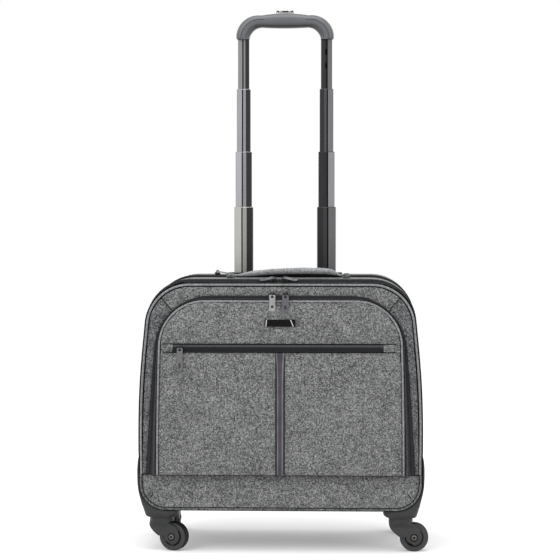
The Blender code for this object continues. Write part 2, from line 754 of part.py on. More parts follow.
def main():
    clear_scene()
    case = body("case")
    make_rear_shell(case)
    make_lower_tray(case)
    make_inside(case)
    make_trolley_bezel(case)
    make_corner_housings(case)
    for end in CASTER_Y:
        for side, sign in sides():
            make_caster(end, side, sign, case)

    hinge = (0.0, HINGE_Y, HINGE_Z)
    middle = body("middle_section", hinge, case)
    make_middle(middle)
    make_carry_handle(body("handle_swing", (HANDLE_X, HANDLE_Y, HANDLE_AXIS_Z), middle))
    lid = body("lid", hinge, middle)
    make_front_lid(lid)
    pocket = body("pocket", (0.0, LID_FRONT - GAP, PANEL_BASE_Z), lid)
    make_pocket_panel(pocket)
    make_panel_trim(pocket)
    make_zip_pulls(case, lid, pocket)

    top_stage = make_stages(case)
    make_grip(top_stage)
    make_release_button(top_stage)


main()
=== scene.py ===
"""The looks of the rolling laptop case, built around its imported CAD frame. Metres, +Z up, front at -Y."""

import json
import math

import bmesh
import bpy
from mathutils import Matrix, Vector, noise
from mathutils.bvhtree import BVHTree


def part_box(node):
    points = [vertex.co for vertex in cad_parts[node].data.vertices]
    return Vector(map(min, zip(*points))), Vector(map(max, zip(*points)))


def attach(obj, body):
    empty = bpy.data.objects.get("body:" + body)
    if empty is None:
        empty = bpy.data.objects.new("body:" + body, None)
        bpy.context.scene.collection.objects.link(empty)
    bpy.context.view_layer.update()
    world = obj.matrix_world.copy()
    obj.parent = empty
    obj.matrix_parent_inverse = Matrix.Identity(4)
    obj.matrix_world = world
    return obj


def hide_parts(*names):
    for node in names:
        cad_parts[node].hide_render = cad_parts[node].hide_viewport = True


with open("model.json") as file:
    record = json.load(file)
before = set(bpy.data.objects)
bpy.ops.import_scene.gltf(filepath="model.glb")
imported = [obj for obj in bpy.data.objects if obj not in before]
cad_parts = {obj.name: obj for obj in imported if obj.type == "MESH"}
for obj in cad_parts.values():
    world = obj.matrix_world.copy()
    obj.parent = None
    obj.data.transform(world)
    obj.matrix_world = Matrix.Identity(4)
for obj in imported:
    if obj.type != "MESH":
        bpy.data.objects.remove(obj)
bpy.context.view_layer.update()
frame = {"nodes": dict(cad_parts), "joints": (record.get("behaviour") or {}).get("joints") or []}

# ---- sizes that the frame gives ----
LID_LOW, LID_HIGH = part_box("front_lid")
MIDDLE_LOW, MIDDLE_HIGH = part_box("middle_shell")
REAR_LOW, REAR_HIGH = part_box("rear_shell")
TRAY_LOW, TRAY_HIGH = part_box("lower_tray")
PANEL_LOW, PANEL_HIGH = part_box("pocket_panel")
TRIM_LOW, TRIM_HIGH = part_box("centre_trim")
BADGE_LOW, BADGE_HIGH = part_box("badge_plate")
BAND_LOW, BAND_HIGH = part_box("pocket_zip_band")
HANDLE_LOW, HANDLE_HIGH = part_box("carry_handle")
GRIP_LOW, GRIP_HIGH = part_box("grip")
JOINTS = {joint["name"]: joint for joint in frame["joints"]}

# ---- shape sizes that the frame's boxes don't give ----
SHOULDER_IN = 0.0095  # how far the shoulders lean in from the foot
SIDE_STRAIGHT_TOP = 0.158
SHOULDER_RADIUS = 0.070
BOTTOM_RADIUS = 0.042
WALL = 0.0030
EDGE_RADIUS = 0.0060
TAPE_WIDTH = 0.0055
PIPING_RADIUS = 0.0018
PIPING_INSET = 0.0038
LID_TOP = LID_HIGH.z - 0.0014
SIDE_PUFF = 0.0038  # how far the fabric sides stand out
PANEL_FACE_HALF = 0.1925
PANEL_FACE_SHOULDER = 0.1895
PANEL_FACE_TOP = 0.3957
PANEL_FACE_RADIUS = 0.070
PANEL_TOP_Y = -0.1120
GUSSET_SHOULDER = 0.1968
GUSSET_RADIUS = 0.0880
SEAM_FLOOR = LID_LOW.z
POCKET_BOW = (0.0011, 0.110, 0.366)  # how far the pocket's sides bow out, and between which heights
MITRE_CORNER = (0.1850, 0.3970)  # where the lid's right-hand corner seam starts, as (x, z)
TUBE_GAP_X = (0.0470, 0.0900)  # the openings for the trolley's tubes in the top of the case
TUBE_GAP_Y = (0.0835, 0.1132)
SIDES = (("left", -1), ("right", 1))
FORWARD, BACKWARD = Vector((0, -1, 0)), Vector((0, 1, 0))


# ---- meshes ----
def mesh_of(name, bm):
    mesh = bpy.data.meshes.new(name)
    bm.to_mesh(mesh)
    bm.free()
    return mesh


def added(name, data):
    """A new object in the scene."""
    obj = bpy.data.objects.new(name, data)
    bpy.context.scene.collection.objects.link(obj)
    return obj


def piece(name, bm, finishes, body, replaces=(), smooth=True, sharp=40):
    """A finished piece that rides on a body; finishes is one material or a list for face indices."""
    mesh = mesh_of(name, bm)
    for finish in finishes if isinstance(finishes, (list, tuple)) else [finishes]:
        mesh.materials.append(finish)
    if smooth:
        mesh.shade_smooth()
        mesh.set_sharp_from_angle(angle=math.radians(sharp))
    obj = added(name, mesh)
    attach(obj, body)
    if replaces:
        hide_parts(*replaces)
    return obj


def add_modifier(obj, kind, **settings):
    modifier = obj.modifiers.new(kind.title(), kind)
    for key, value in settings.items():
        setattr(modifier, key, value)
    return modifier


def round_edges(obj, width, segments=2, angle=35):
    limit = math.radians(angle)
    add_modifier(obj, "BEVEL", width=width, segments=segments, limit_method="ANGLE", angle_limit=limit)


def smooth_more(obj):
    add_modifier(obj, "SUBSURF", levels=1, render_levels=1)


def outward(bm):
    bmesh.ops.recalc_face_normals(bm, faces=bm.faces[:])
    if bm.calc_volume(signed=True) < 0:
        bmesh.ops.reverse_faces(bm, faces=bm.faces[:])
    return bm


def loft(rings, closed_ring=True, loop=False, bands=None, bm=None):
    """A skin over rings of points, capped unless open or a loop; bands has a material index for each step."""
    bm = bm or bmesh.new()
    rows = [[bm.verts.new(point) for point in ring] for ring in rings]
    count = len(rows[0])
    pairs = list(zip(rows, rows[1:]))
    if loop:
        pairs.append((rows[-1], rows[0]))
    last = count if closed_ring else count - 1
    for step, (low, high) in enumerate(pairs):
        for i in range(last):
            j = (i + 1) % count
            face = bm.faces.new((low[i], low[j], high[j], high[i]))
            face.material_index = bands[step] if bands else 0
    if closed_ring and not loop:
        bm.faces.new(rows[0][::-1])
        bm.faces.new(rows[-1])
    return bm


def turned(profile, place, sides, loop=False, bands=None):
    """A solid of revolution; profile is (radius, height), place maps (u, v, w) with w along the axis."""
    rings = []
    for radius, height in profile:
        angles = [2 * math.pi * i / sides for i in range(sides)]
        rings.append([place(radius * math.cos(a), radius * math.sin(a), height) for a in angles])
    return outward(loft(rings, loop=loop, bands=bands))


def tangent_at(points, i):
    return (points[min(len(points) - 1, i + 1)] - points[max(0, i - 1)]).normalized()


def tube_along(points, radius, sides, up=BACKWARD):
    """A round cord along points."""
    rings = []
    for i, point in enumerate(points):
        tangent = tangent_at(points, i)
        across = tangent.cross(up).normalized()
        lift = across.cross(tangent).normalized()
        ring = []
        for k in range(sides):
            angle = 2 * math.pi * k / sides
            ring.append(point + across * radius * math.cos(angle) + lift * radius * math.sin(angle))
        rings.append(ring)
    return outward(loft(rings))


def slab(loops, place, length):
    """A closed slab: the first loop is its outline and the others are holes through it."""
    bm = bmesh.new()
    edges = []
    for loop in loops:
        verts = [bm.verts.new((u, v, 0.0)) for u, v in loop]
        edges += [bm.edges.new((verts[i - 1], verts[i])) for i in range(len(verts))]
    if len(loops) == 1:
        faces = [bm.faces.new(bm.verts[:])]
    else:
        filled = bmesh.ops.triangle_fill(bm, use_beauty=True, edges=edges)
        faces = [item for item in filled["geom"] if isinstance(item, bmesh.types.BMFace)]
    pushed = bmesh.ops.extrude_face_region(bm, geom=faces, use_keep_orig=True)
    moved = [item for item in pushed["geom"] if isinstance(item, bmesh.types.BMVert)]
    bmesh.ops.translate(bm, verts=moved, vec=(0.0, 0.0, length))
    for vert in bm.verts:
        vert.co = place(*vert.co)
    return outward(bm)


def rounded(width, height, radius, steps=4, du=0.0, dv=0.0):
    """A rectangle with round corners."""
    points = []
    for quarter, (sx, sy) in enumerate(((1, 1), (-1, 1), (-1, -1), (1, -1))):
        for i in range(steps + 1):
            angle = math.pi / 2 * (quarter + i / steps)
            u = sx * (width / 2 - radius) + radius * math.cos(angle)
            points.append((du + u, dv + sy * (height / 2 - radius) + radius * math.sin(angle)))
    return points


def circle(radius, sides, du, dv):
    angles = [2 * math.pi * i / sides for i in range(sides)]
    return [(du + radius * math.cos(a), dv + radius * math.sin(a)) for a in angles]


def spaced(points, pitch):
    """Points at an even pitch along a line of points."""
    out = [points[0].copy()]
    carry = 0.0
    for a, b in zip(points, points[1:]):
        length = (b - a).length
        at = pitch - carry
        while at <= length:
            out.append(a.lerp(b, at / length))
            at += pitch
        carry = length - (at - pitch)
    return out


def normal_near(points, normals, place):
    """The normal at a point of the line near a place; it looks at every third point."""
    return normals[min(range(0, len(points), 3), key=lambda k: (points[k] - place).length_squared)]


def bars_along(points, normals, size, pitch):
    """Small tapered bars across a line, such as zip teeth: size is (across, along, tall)."""
    bm = bmesh.new()
    across, along, tall = (value / 2 for value in size)
    line = spaced(points, pitch)
    for i in range(1, len(line) - 1):
        tangent = (line[i + 1] - line[i - 1]).normalized()
        lift = normal_near(points, normals, line[i])
        side = tangent.cross(lift).normalized()
        for sign in (-1, 1):
            shift = tangent * pitch * 0.25 * sign + side * across * 0.45 * sign
            verts = []
            for wide, deep, c in ((0.62, 1.0, -0.5), (0.62 * 0.8, 0.6, 1)):
                for a, b in ((-1, -1), (1, -1), (1, 1), (-1, 1)):
                    corner = side * across * wide * a + tangent * along * deep * b + lift * tall * c
                    verts.append(bm.verts.new(line[i] + shift + corner))
            for face in ((0, 1, 2, 3), (4, 5, 6, 7), (0, 1, 5, 4), (1, 2, 6, 5), (2, 3, 7, 6), (3, 0, 4, 7)):
                bm.faces.new([verts[k] for k in face])
    return bm


def stitches(points, normals, bm, length=0.0026, pitch=0.0040, radius=0.00032):
    """Adds a row of short threads lying along a line."""
    line = spaced(points, pitch)
    for i in range(len(line) - 1):
        tangent = (line[i + 1] - line[i]).normalized()
        lift = normal_near(points, normals, line[i])
        side = tangent.cross(lift).normalized()
        ends = []
        for part, scale in ((0.0, 0.45), (0.25, 1.0), (0.75, 1.0), (1.0, 0.45)):
            centre = line[i] + tangent * length * part + lift * radius * 0.5
            ring = []
            for k in range(5):
                angle = 2 * math.pi * k / 5
                ring.append(centre + (side * math.cos(angle) + lift * math.sin(angle)) * radius * scale)
            ends.append(ring)
        loft(ends, bm=bm)
    return bm


# ---- front outlines: rows of (z, half width) from the open edge to the closed edge ----
def shape_rows(half, shoulder, z_open, z_straight, z_end, radius, inset=0.0, corner_steps=12, lean_steps=26):
    """A straight foot, a side that leans in to the shoulder, and a round corner."""
    way = 1 if z_end > z_open else -1
    half, shoulder, z_end, radius = half - inset, shoulder - inset, z_end - way * inset, radius - inset
    corner_z = z_end - way * radius
    rise = abs(corner_z - z_straight)
    lean = math.atan2(half - shoulder, rise) if rise > 1e-6 else 0.0
    foot_steps = 6
    rows = [(z_open + (z_straight - z_open) * i / foot_steps, half) for i in range(foot_steps)]
    start_w = shoulder - radius + radius * math.cos(lean)
    start_z = corner_z + way * radius * math.sin(lean)
    for i in range(lean_steps):
        t = i / lean_steps
        rows.append((z_straight + (start_z - z_straight) * t, half + (start_w - half) * t))
    for i in range(corner_steps + 1):
        angle = lean + (math.pi / 2 - lean) * i / corner_steps
        rows.append((corner_z + way * radius * math.sin(angle), shoulder - radius + radius * math.cos(angle)))
    return rows


COLUMNS = 44


def columns_of(width):
    """Even places from one side of the outline to the other."""
    return [width * (2 * i / COLUMNS - 1) for i in range(COLUMNS + 1)]


def u_path(rows):
    """The outline as (x, z): up the left side, along the closed edge and down the right side."""
    left = [(-w, z) for z, w in rows[:-1]]
    across = [(x, rows[-1][0]) for x in columns_of(rows[-1][1])]
    right = [(w, z) for z, w in reversed(rows[:-1])]
    return left + across + right


def u_ring(rows, y):
    """The outline in space; y is a number or a function of (x, z)."""
    return [Vector((x, y(x, z) if callable(y) else y, z)) for x, z in u_path(rows)]


def grid(rows, y, bm=None, index=0):
    """A sheet of quads that fills the outline."""
    bm = bm or bmesh.new()
    lines = []
    for z, width in rows:
        lines.append([bm.verts.new((x, y(x, z) if callable(y) else y, z)) for x in columns_of(width)])
    for low, high in zip(lines, lines[1:]):
        for i in range(COLUMNS):
            face = bm.faces.new((low[i], low[i + 1], high[i + 1], high[i]))
            face.material_index = index
    return bm


def joined(bm):
    """Merges an open skin's double points and turns its faces away from the middle of the case."""
    bmesh.ops.remove_doubles(bm, verts=bm.verts[:], dist=0.00003)
    bmesh.ops.recalc_face_normals(bm, faces=bm.faces[:])
    bm.normal_update()
    middle = Vector((0.0, (LID_LOW.y + REAR_HIGH.y) / 2, (TRAY_LOW.z + REAR_HIGH.z) / 2))
    votes = sum((face.calc_center_median() - middle).dot(face.normal) * face.calc_area() for face in bm.faces)
    if votes < 0:
        bmesh.ops.reverse_faces(bm, faces=bm.faces[:])
    return bm


def bowed(rows, amount, low, high):
    """Lets the sides stand out between the heights low and high."""
    out = []
    for z, width in rows:
        part = min(1.0, max(0.0, (z - low) / (high - low)))
        out.append((z, width + amount * math.sin(math.pi * part)))
    return out


def case_rows(inset, top, puff=0.0):
    """The case's outline; puff, from 0 to 1, lets its sides stand out between seam and shoulder."""
    half = LID_HIGH.x
    rows = shape_rows(half, half - SHOULDER_IN, SEAM_FLOOR, SIDE_STRAIGHT_TOP, top, SHOULDER_RADIUS, inset)
    return bowed(rows, puff * SIDE_PUFF, 0.150, 0.356)


def tray_rows(inset):
    """The bottom section's outline, from its upper edge down."""
    half = TRAY_HIGH.x
    return shape_rows(
        half, half, TRAY_HIGH.z, TRAY_LOW.z + BOTTOM_RADIUS, TRAY_LOW.z, BOTTOM_RADIUS, inset, 12, 1
    )


def gusset_rows(inset):
    """The outline where the pocket's gusset meets the lid."""
    base = PANEL_LOW.z
    top = PANEL_HIGH.z - 0.0018
    rows = shape_rows(PANEL_HIGH.x, GUSSET_SHOULDER, base, base + 0.004, top, GUSSET_RADIUS, inset)
    return bowed(rows, *POCKET_BOW)


def face_rows(inset):
    """The outline of the pocket panel's front face."""
    base = PANEL_LOW.z
    shoulder, radius = PANEL_FACE_SHOULDER, PANEL_FACE_RADIUS
    rows = shape_rows(PANEL_FACE_HALF, shoulder, base, base + 0.004, PANEL_FACE_TOP, radius, inset)
    return bowed(rows, *POCKET_BOW)


def panel_y(_, z):
    """The flat front face of the pocket panel as a function of (x, z); it leans back as z grows."""
    part = (z - PANEL_LOW.z) / (PANEL_FACE_TOP - PANEL_LOW.z)
    return PANEL_LOW.y + (PANEL_TOP_Y - PANEL_LOW.y) * part


def soft_noise(x, y, z, size, strength):
    """Smooth unevenness: size is the width of its waves."""
    return noise.noise(Vector((x, y, z)) / size) * strength


# ---- materials ----
class Nodes:
    """Short names for building a node material."""

    def __init__(self, name):
        self.material = bpy.data.materials.new(name)
        self.material.use_nodes = True
        self.tree = self.material.node_tree
        self.shader = self.tree.nodes["Principled BSDF"]
        self.place = self.new("ShaderNodeTexCoord").outputs["Object"]

    def new(self, kind, **settings):
        node = self.tree.nodes.new(kind)
        for key, value in settings.items():
            setattr(node, key, value)
        return node

    def link(self, source, target):
        self.tree.links.new(source, target)

    def scaled(self, scale):
        """The place times a scale, which is one number or one for each axis."""
        mapping = self.new("ShaderNodeMapping")
        mapping.inputs["Scale"].default_value = scale if isinstance(scale, tuple) else (scale, scale, scale)
        self.link(self.place, mapping.inputs["Vector"])
        return mapping.outputs["Vector"]

    def noise(self, scale, detail=2.0):
        node = self.new("ShaderNodeTexNoise")
        node.inputs["Scale"].default_value = 1.0
        node.inputs["Detail"].default_value = detail
        node.inputs["Roughness"].default_value = 0.5
        self.link(self.scaled(scale), node.inputs["Vector"])
        return node.outputs["Fac"]

    def cells(self, scale):
        """A random value for each small cube of space, as for the threads of a weave."""
        whole = self.new("ShaderNodeVectorMath", operation="FLOOR")
        self.link(self.scaled(scale), whole.inputs[0])
        node = self.new("ShaderNodeTexWhiteNoise", noise_dimensions="3D")
        self.link(whole.outputs["Vector"], node.inputs["Vector"])
        return node.outputs["Value"]

    def math(self, operation, first, second):
        node = self.new("ShaderNodeMath", operation=operation)
        for socket, value in zip(node.inputs, (first, second)):
            if isinstance(value, (int, float)):
                socket.default_value = value
            else:
                self.link(value, socket)
        return node.outputs[0]

    def ramp(self, source, stops):
        node = self.new("ShaderNodeValToRGB")
        elements = node.color_ramp.elements
        while len(elements) < len(stops):
            elements.new(0.5)
        for element, (position, colour) in zip(elements, stops):
            element.position = position
            element.color = (*colour, 1.0)
        self.link(source, node.inputs["Fac"])
        return node.outputs["Color"]

    def shades(self, source, colour, low, high, stops=(0.35, 0.65)):
        """A ramp between a darker and a lighter shade of a colour."""
        dark, light = (tuple(min(1.0, value * part) for value in colour) for part in (low, high))
        return self.ramp(source, [(stops[0], dark), (stops[1], light)])

    def uneven(self, source, amount, middle):
        """A value that varies by amount round its middle."""
        return self.math("ADD", self.math("MULTIPLY", source, amount), middle - amount / 2)

    def bump(self, source, strength, distance):
        node = self.new("ShaderNodeBump")
        node.inputs["Strength"].default_value = strength
        node.inputs["Distance"].default_value = distance
        self.link(source, node.inputs["Height"])
        self.link(node.outputs["Normal"], self.shader.inputs["Normal"])

    def put(self, **values):
        for key, value in values.items():
            socket = self.shader.inputs[key.replace("_", " ")]
            if isinstance(value, (int, float, tuple)):
                socket.default_value = value
            else:
                self.link(value, socket)
        return self


def grey(value, warm=0.0):
    """A grey that is warmer for warm above 0 and bluer below 0."""
    return (value * (1 + warm), value, value * (1 - warm))


def melange_fabric(name, dark, middle, light):
    """Heathered plain weave: each thread crossing has its own tone, with short slubs along all three axes."""
    n = Nodes(name)
    level = n.cells((430.0, 430.0, 1150.0))
    upright = n.cells((1150.0, 430.0, 430.0))
    across = n.cells((430.0, 1150.0, 430.0))
    crossing = n.cells(1050.0)
    slubs = n.math("MULTIPLY", n.math("ADD", n.math("ADD", level, upright), across), 0.058)
    slubs = n.math("ADD", slubs, 0.5 - 0.058 * 1.5)
    threads = n.math("MULTIPLY", n.math("SUBTRACT", crossing, 0.5), 0.100)
    patches = n.math("MULTIPLY", n.math("SUBTRACT", n.noise(38.0, 2.0), 0.5), 0.05)
    mix = n.math("ADD", n.math("ADD", slubs, threads), patches)
    n.put(Base_Color=n.ramp(mix, [(0.424, dark), (0.500, middle), (0.583, light)]))
    n.put(Roughness=0.92, Sheen_Weight=0.12, Sheen_Roughness=0.5, Specular_IOR_Level=0.25)
    weave = n.noise(1500.0, 1.0)
    n.bump(weave, 0.5, 0.0004)
    return n.material


def plain_fabric(name, colour, scale=900.0, roughness=0.85, gloss=0.12):
    """Even cloth with a fine grain."""
    n = Nodes(name)
    grain = n.noise(scale, 2.0)
    n.put(Base_Color=n.shades(grain, colour, 0.62, 1.45), Roughness=roughness, Specular_IOR_Level=gloss)
    n.bump(grain, 0.4, 0.0003)
    return n.material


def moulded_plastic(name, colour, roughness, grain=0.25, mottle=0.10, gloss=0.25, underside=1.0):
    """Lightly textured plastic with slightly uneven gloss.

    A shade value below 1 paints shade on the faces that look down and, less, on those that look up.
    """
    n = Nodes(name)
    cloud = n.noise(45.0, 3.0)
    shade = n.shades(cloud, colour, 1 - mottle, 1 + mottle)
    if underside < 1.0:
        # Painted shade from the surface normal: darkest facing down, lighter sideways, a little darker again
        # facing up.
        facing = n.new("ShaderNodeSeparateXYZ")
        n.link(n.new("ShaderNodeNewGeometry").outputs["Normal"], facing.inputs["Vector"])
        upward = n.math("ADD", n.math("MULTIPLY", facing.outputs["Z"], 0.5), 0.5)
        steps = ((0.12, underside), (0.50, 0.80), (0.66, 1.0), (0.95, 0.62))
        amount = n.ramp(upward, [(place, grey(value)) for place, value in steps])
        mix = n.new("ShaderNodeMix", data_type="RGBA", blend_type="MULTIPLY")
        mix.inputs["Factor"].default_value = 1.0
        n.link(shade, mix.inputs["A"])
        n.link(amount, mix.inputs["B"])
        shade = mix.outputs["Result"]
    n.put(Base_Color=shade, Specular_IOR_Level=gloss)
    fine = n.noise(2200.0, 2.0)
    n.put(Roughness=n.uneven(cloud, 0.14, roughness))
    n.bump(fine, grain, 0.00008)
    return n.material


def leatherette(name, dark, light):
    """Coated cloth with small raised cells."""
    n = Nodes(name)
    cells = n.new("ShaderNodeTexVoronoi", feature="DISTANCE_TO_EDGE")
    cells.inputs["Scale"].default_value = 1.0
    n.link(n.scaled(950.0), cells.inputs["Vector"])
    cloud = n.noise(60.0, 3.0)
    n.put(Base_Color=n.ramp(cloud, [(0.3, dark), (0.7, light)]))
    n.put(Roughness=n.uneven(cloud, 0.2, 0.36), Specular_IOR_Level=0.30)
    n.bump(cells.outputs["Distance"], 0.5, 0.0002)
    return n.material


def metal(name, colour, roughness, brushed=(60.0, 60.0, 1800.0), spread=0.12):
    """Metal with a faint brushed streak and small changes of gloss."""
    n = Nodes(name)
    streak = n.noise(brushed, 2.0)
    cloud = n.noise(30.0, 2.0)
    n.put(Base_Color=n.shades(streak, colour, 1 - spread, 1 + spread, (0.3, 0.7)), Metallic=1.0)
    n.put(Roughness=n.uneven(cloud, 0.16, roughness))
    n.bump(streak, 0.08, 0.00005)
    return n.material


FABRIC = melange_fabric("melange_fabric", grey(0.023, -0.02), grey(0.103, -0.012), grey(0.290, -0.008))
# A darker copy of the melange: painted shade on faces that turn away from the light.
SHADED_SIDE_FABRIC = melange_fabric("side_fabric", grey(0.012, -0.03), grey(0.070, -0.025), grey(0.230, -0.02))
# A still darker copy of the melange: painted shade on the lid's rounded front edge.
SHADED_EDGE_FABRIC = melange_fabric("edge_fabric", grey(0.010, -0.03), grey(0.036, -0.03), grey(0.110, -0.03))
HANDLE_FABRIC = melange_fabric("handle_fabric", grey(0.110, -0.03), grey(0.225, -0.025), grey(0.380, -0.02))
# A lighter copy of the melange for the piping cords: painted highlight along them.
HIGHLIT_PIPING = melange_fabric("piping_fabric", grey(0.090, -0.03), grey(0.180, -0.03), grey(0.290, -0.02))
LINING = plain_fabric("lining_fabric", grey(0.030, -0.03))
TAPE = plain_fabric("zip_tape_fabric", grey(0.0150, -0.06), 1300.0, 0.75)
TAPE_LIP = plain_fabric("zip_lip_fabric", grey(0.045, -0.03), 1300.0, 0.7)
GUSSET_FABRIC = plain_fabric("gusset_fabric", (0.0265, 0.0250, 0.0295), (1300.0, 1300.0, 400.0), 0.75)
GUSSET_RIB = plain_fabric("gusset_rib_fabric", (0.0520, 0.0490, 0.0570), (1300.0, 1300.0, 400.0), 0.7)
SEAM = plain_fabric("seam_shadow_fabric", grey(0.005, -0.04), gloss=0.03)
COIL = moulded_plastic("zip_coil_plastic", grey(0.016, -0.07), 0.34, 0.1)
THREAD = plain_fabric("stitch_thread", grey(0.070, -0.02), 3000.0, 0.6)
LEATHER = leatherette("trim_leatherette", (0.030, 0.027, 0.034), (0.050, 0.046, 0.056))
# A lighter copy of the trim's leatherette: painted highlight on the rolled ridges.
HIGHLIT_RIDGE_LEATHER = leatherette("trim_ridge_leatherette", (0.090, 0.084, 0.096), (0.150, 0.141, 0.158))
# Near-black leatherette: partly the handle's real dark underside, partly painted shadow beside the trim's
# channel and under the strap.
DARK_LEATHER_AND_SHADE = leatherette("trim_edge_leatherette", (0.007, 0.006, 0.008), (0.014, 0.013, 0.016))
BADGE_BLACK = moulded_plastic("badge_black", grey(0.003, -0.02), 0.45, 0.05, gloss=0.08)
# Bright metal for the badge's polished ends, which carry a painted highlight.
BADGE_GLINT_METAL = metal("badge_edge_metal", grey(0.62), 0.22)
ZIP_METAL = metal("zip_metal_light", grey(0.32, -0.01), 0.30, 400.0)
ZIP_METAL_MID = metal("zip_metal_middle", (0.150, 0.150, 0.156), 0.34, 400.0)
ZIP_METAL_DARK = metal("zip_metal_dark", (0.125, 0.122, 0.132), 0.40, 400.0)
ZIP_BLACK = moulded_plastic("zip_slider_black", grey(0.012, -0.03), 0.30, 0.1)
TUBE_DARK = metal("tube_anodised_dark", grey(0.060, -0.01), 0.36)
# The grip's plastic takes strong painted shade on its downward faces.
GRIP_PLASTIC = moulded_plastic("grip_plastic", (0.106, 0.108, 0.117), 0.34, 0.15, 0.05, 0.4, 0.20)
BUTTON_SILVER = metal("button_silver", grey(0.34), 0.30, 300.0)
# Near-black: the button's real dark inlays, and painted shade in the casters' screw sockets, screw recesses
# and wheel hubs.
DARK_INLAY_AND_SHADE = moulded_plastic("button_dark_inlay", grey(0.006), 0.6, gloss=0.05)
# The casters' plastic takes painted shade on its downward faces.
CASTER_PLASTIC = moulded_plastic("caster_plastic", grey(0.041, -0.02), 0.42, 0.35, gloss=0.22, underside=0.5)
TREAD = moulded_plastic("wheel_tread", grey(0.010), 0.55, 0.5, gloss=0.12)
RIM = moulded_plastic("wheel_rim_plastic", grey(0.040, -0.03), 0.40, 0.2, gloss=0.22)
BOARD = plain_fabric("board_fibre", (0.060, 0.055, 0.050), 300.0, 0.8)
STEEL = metal("axle_steel", (0.150, 0.140, 0.125), 0.38, 500.0)


# ---- fabric sections ----
def sheet_shell(name, bm, body, replaces):
    """A fabric skin thickened inwards; its inside and rims take the lining."""
    # Finishes 2 and 3 are darker copies of the melange that carry painted shade.
    finishes = [FABRIC, TAPE, SHADED_EDGE_FABRIC, SHADED_SIDE_FABRIC, LINING]
    obj = piece(name, joined(bm), finishes, body, replaces, sharp=50)
    shell = add_modifier(obj, "SOLIDIFY", thickness=WALL, offset=-1.0, use_even_offset=True)
    shell.material_offset = 4
    shell.material_offset_rim = 4


def rows_at(top):
    """The case's outlines with their upper edge at top, by inset and puff."""

    def rows_of(inset, puff=0.0):
        return case_rows(inset, top, puff)

    return rows_of


def rounded_end(rows_of, y_side, y_face, radius, puffed=False):
    """Rings that turn from the side wall (y_side) into an end face (y_face)."""
    way = 1 if y_face > y_side else -1
    rings = []
    steps = 5
    for i in range(1, steps + 1):
        angle = math.pi / 2 * i / steps
        inset = radius * (1 - math.cos(angle))
        rows = rows_of(inset, math.cos(angle)) if puffed else rows_of(inset)
        rings.append(u_ring(rows, y_face - way * radius * (1 - math.sin(angle))))
    return rings


def make_rear_section():
    """The back of the case: zip tape at its front edge, soft round back edges and a crowned back."""
    rows_of = rows_at(REAR_HIGH.z)
    front, back = REAR_LOW.y, REAR_HIGH.y
    radius = 0.012
    rings = [u_ring(rows_of(0.0004), front), u_ring(rows_of(0.0006), front + TAPE_WIDTH)]
    rings.append(u_ring(rows_of(0.0), front + TAPE_WIDTH + 0.0008))
    steps = 6
    for i in range(1, steps + 1):
        puff = 0.55 * math.sin(math.pi * min(1.0, i / steps * 0.9)) ** 0.6
        y = 0.0840 if i == steps - 1 else front + (back - radius - front) * i / steps
        rings.append(u_ring(rows_of(0.0, puff), y))
    last = 0.55 * math.sin(math.pi * 0.9) ** 0.6
    rings += rounded_end(lambda inset, puff: rows_of(inset, puff * last), front, back, radius, puffed=True)
    bm = loft(rings, closed_ring=False, bands=[1, 1] + [0] * (len(rings) - 3))

    def back_y(x, z):
        edge = min(1.0, (0.205 - abs(x)) / 0.06, (0.415 - z) / 0.06, (z - SEAM_FLOOR + 0.01) / 0.06)
        return back + soft_noise(x, 3.0, z, 0.07, 0.0012) * max(0.0, edge)

    grid(rows_of(radius), back_y, bm)
    opening = [
        face for face in bm.faces
        if min(v.co.z for v in face.verts) > REAR_HIGH.z - 0.0020
        and all(TUBE_GAP_Y[0] < v.co.y < TUBE_GAP_Y[1] for v in face.verts)
        and all(TUBE_GAP_X[0] < abs(v.co.x) < TUBE_GAP_X[1] for v in face.verts)
    ]
    bmesh.ops.delete(bm, geom=opening, context="FACES")
    sheet_shell("rear_section", bm, "case", ["rear_shell"])


def make_middle_section():
    """The band between the two long zips, with zip tape at both edges."""
    rows_of = rows_at(MIDDLE_HIGH.z)
    front, back = MIDDLE_LOW.y, MIDDLE_HIGH.y
    rings = [u_ring(rows_of(0.0006), front), u_ring(rows_of(0.0006), front + TAPE_WIDTH)]
    steps = 10
    for i in range(steps + 1):
        y = front + TAPE_WIDTH + 0.0008 + (back - front - 2 * TAPE_WIDTH - 0.0016) * i / steps
        swell = math.sin(math.pi * i / steps)
        rings.append(u_ring(rows_of(0.0, swell**0.6), y))
    rings += [u_ring(rows_of(0.0006), back - TAPE_WIDTH), u_ring(rows_of(0.0006), back)]
    bands = [1, 1] + [0] * steps + [1, 1]
    bm = loft(rings, closed_ring=False, bands=bands)
    sheet_shell("middle_band", bm, "middle_section", ["middle_shell"])


def mitre_index(path):
    """The column of the lid's outline where the right-hand mitre seam starts."""
    spans = [(x - MITRE_CORNER[0]) ** 2 + (z - MITRE_CORNER[1]) ** 2 for x, z in path]
    return spans.index(min(spans))


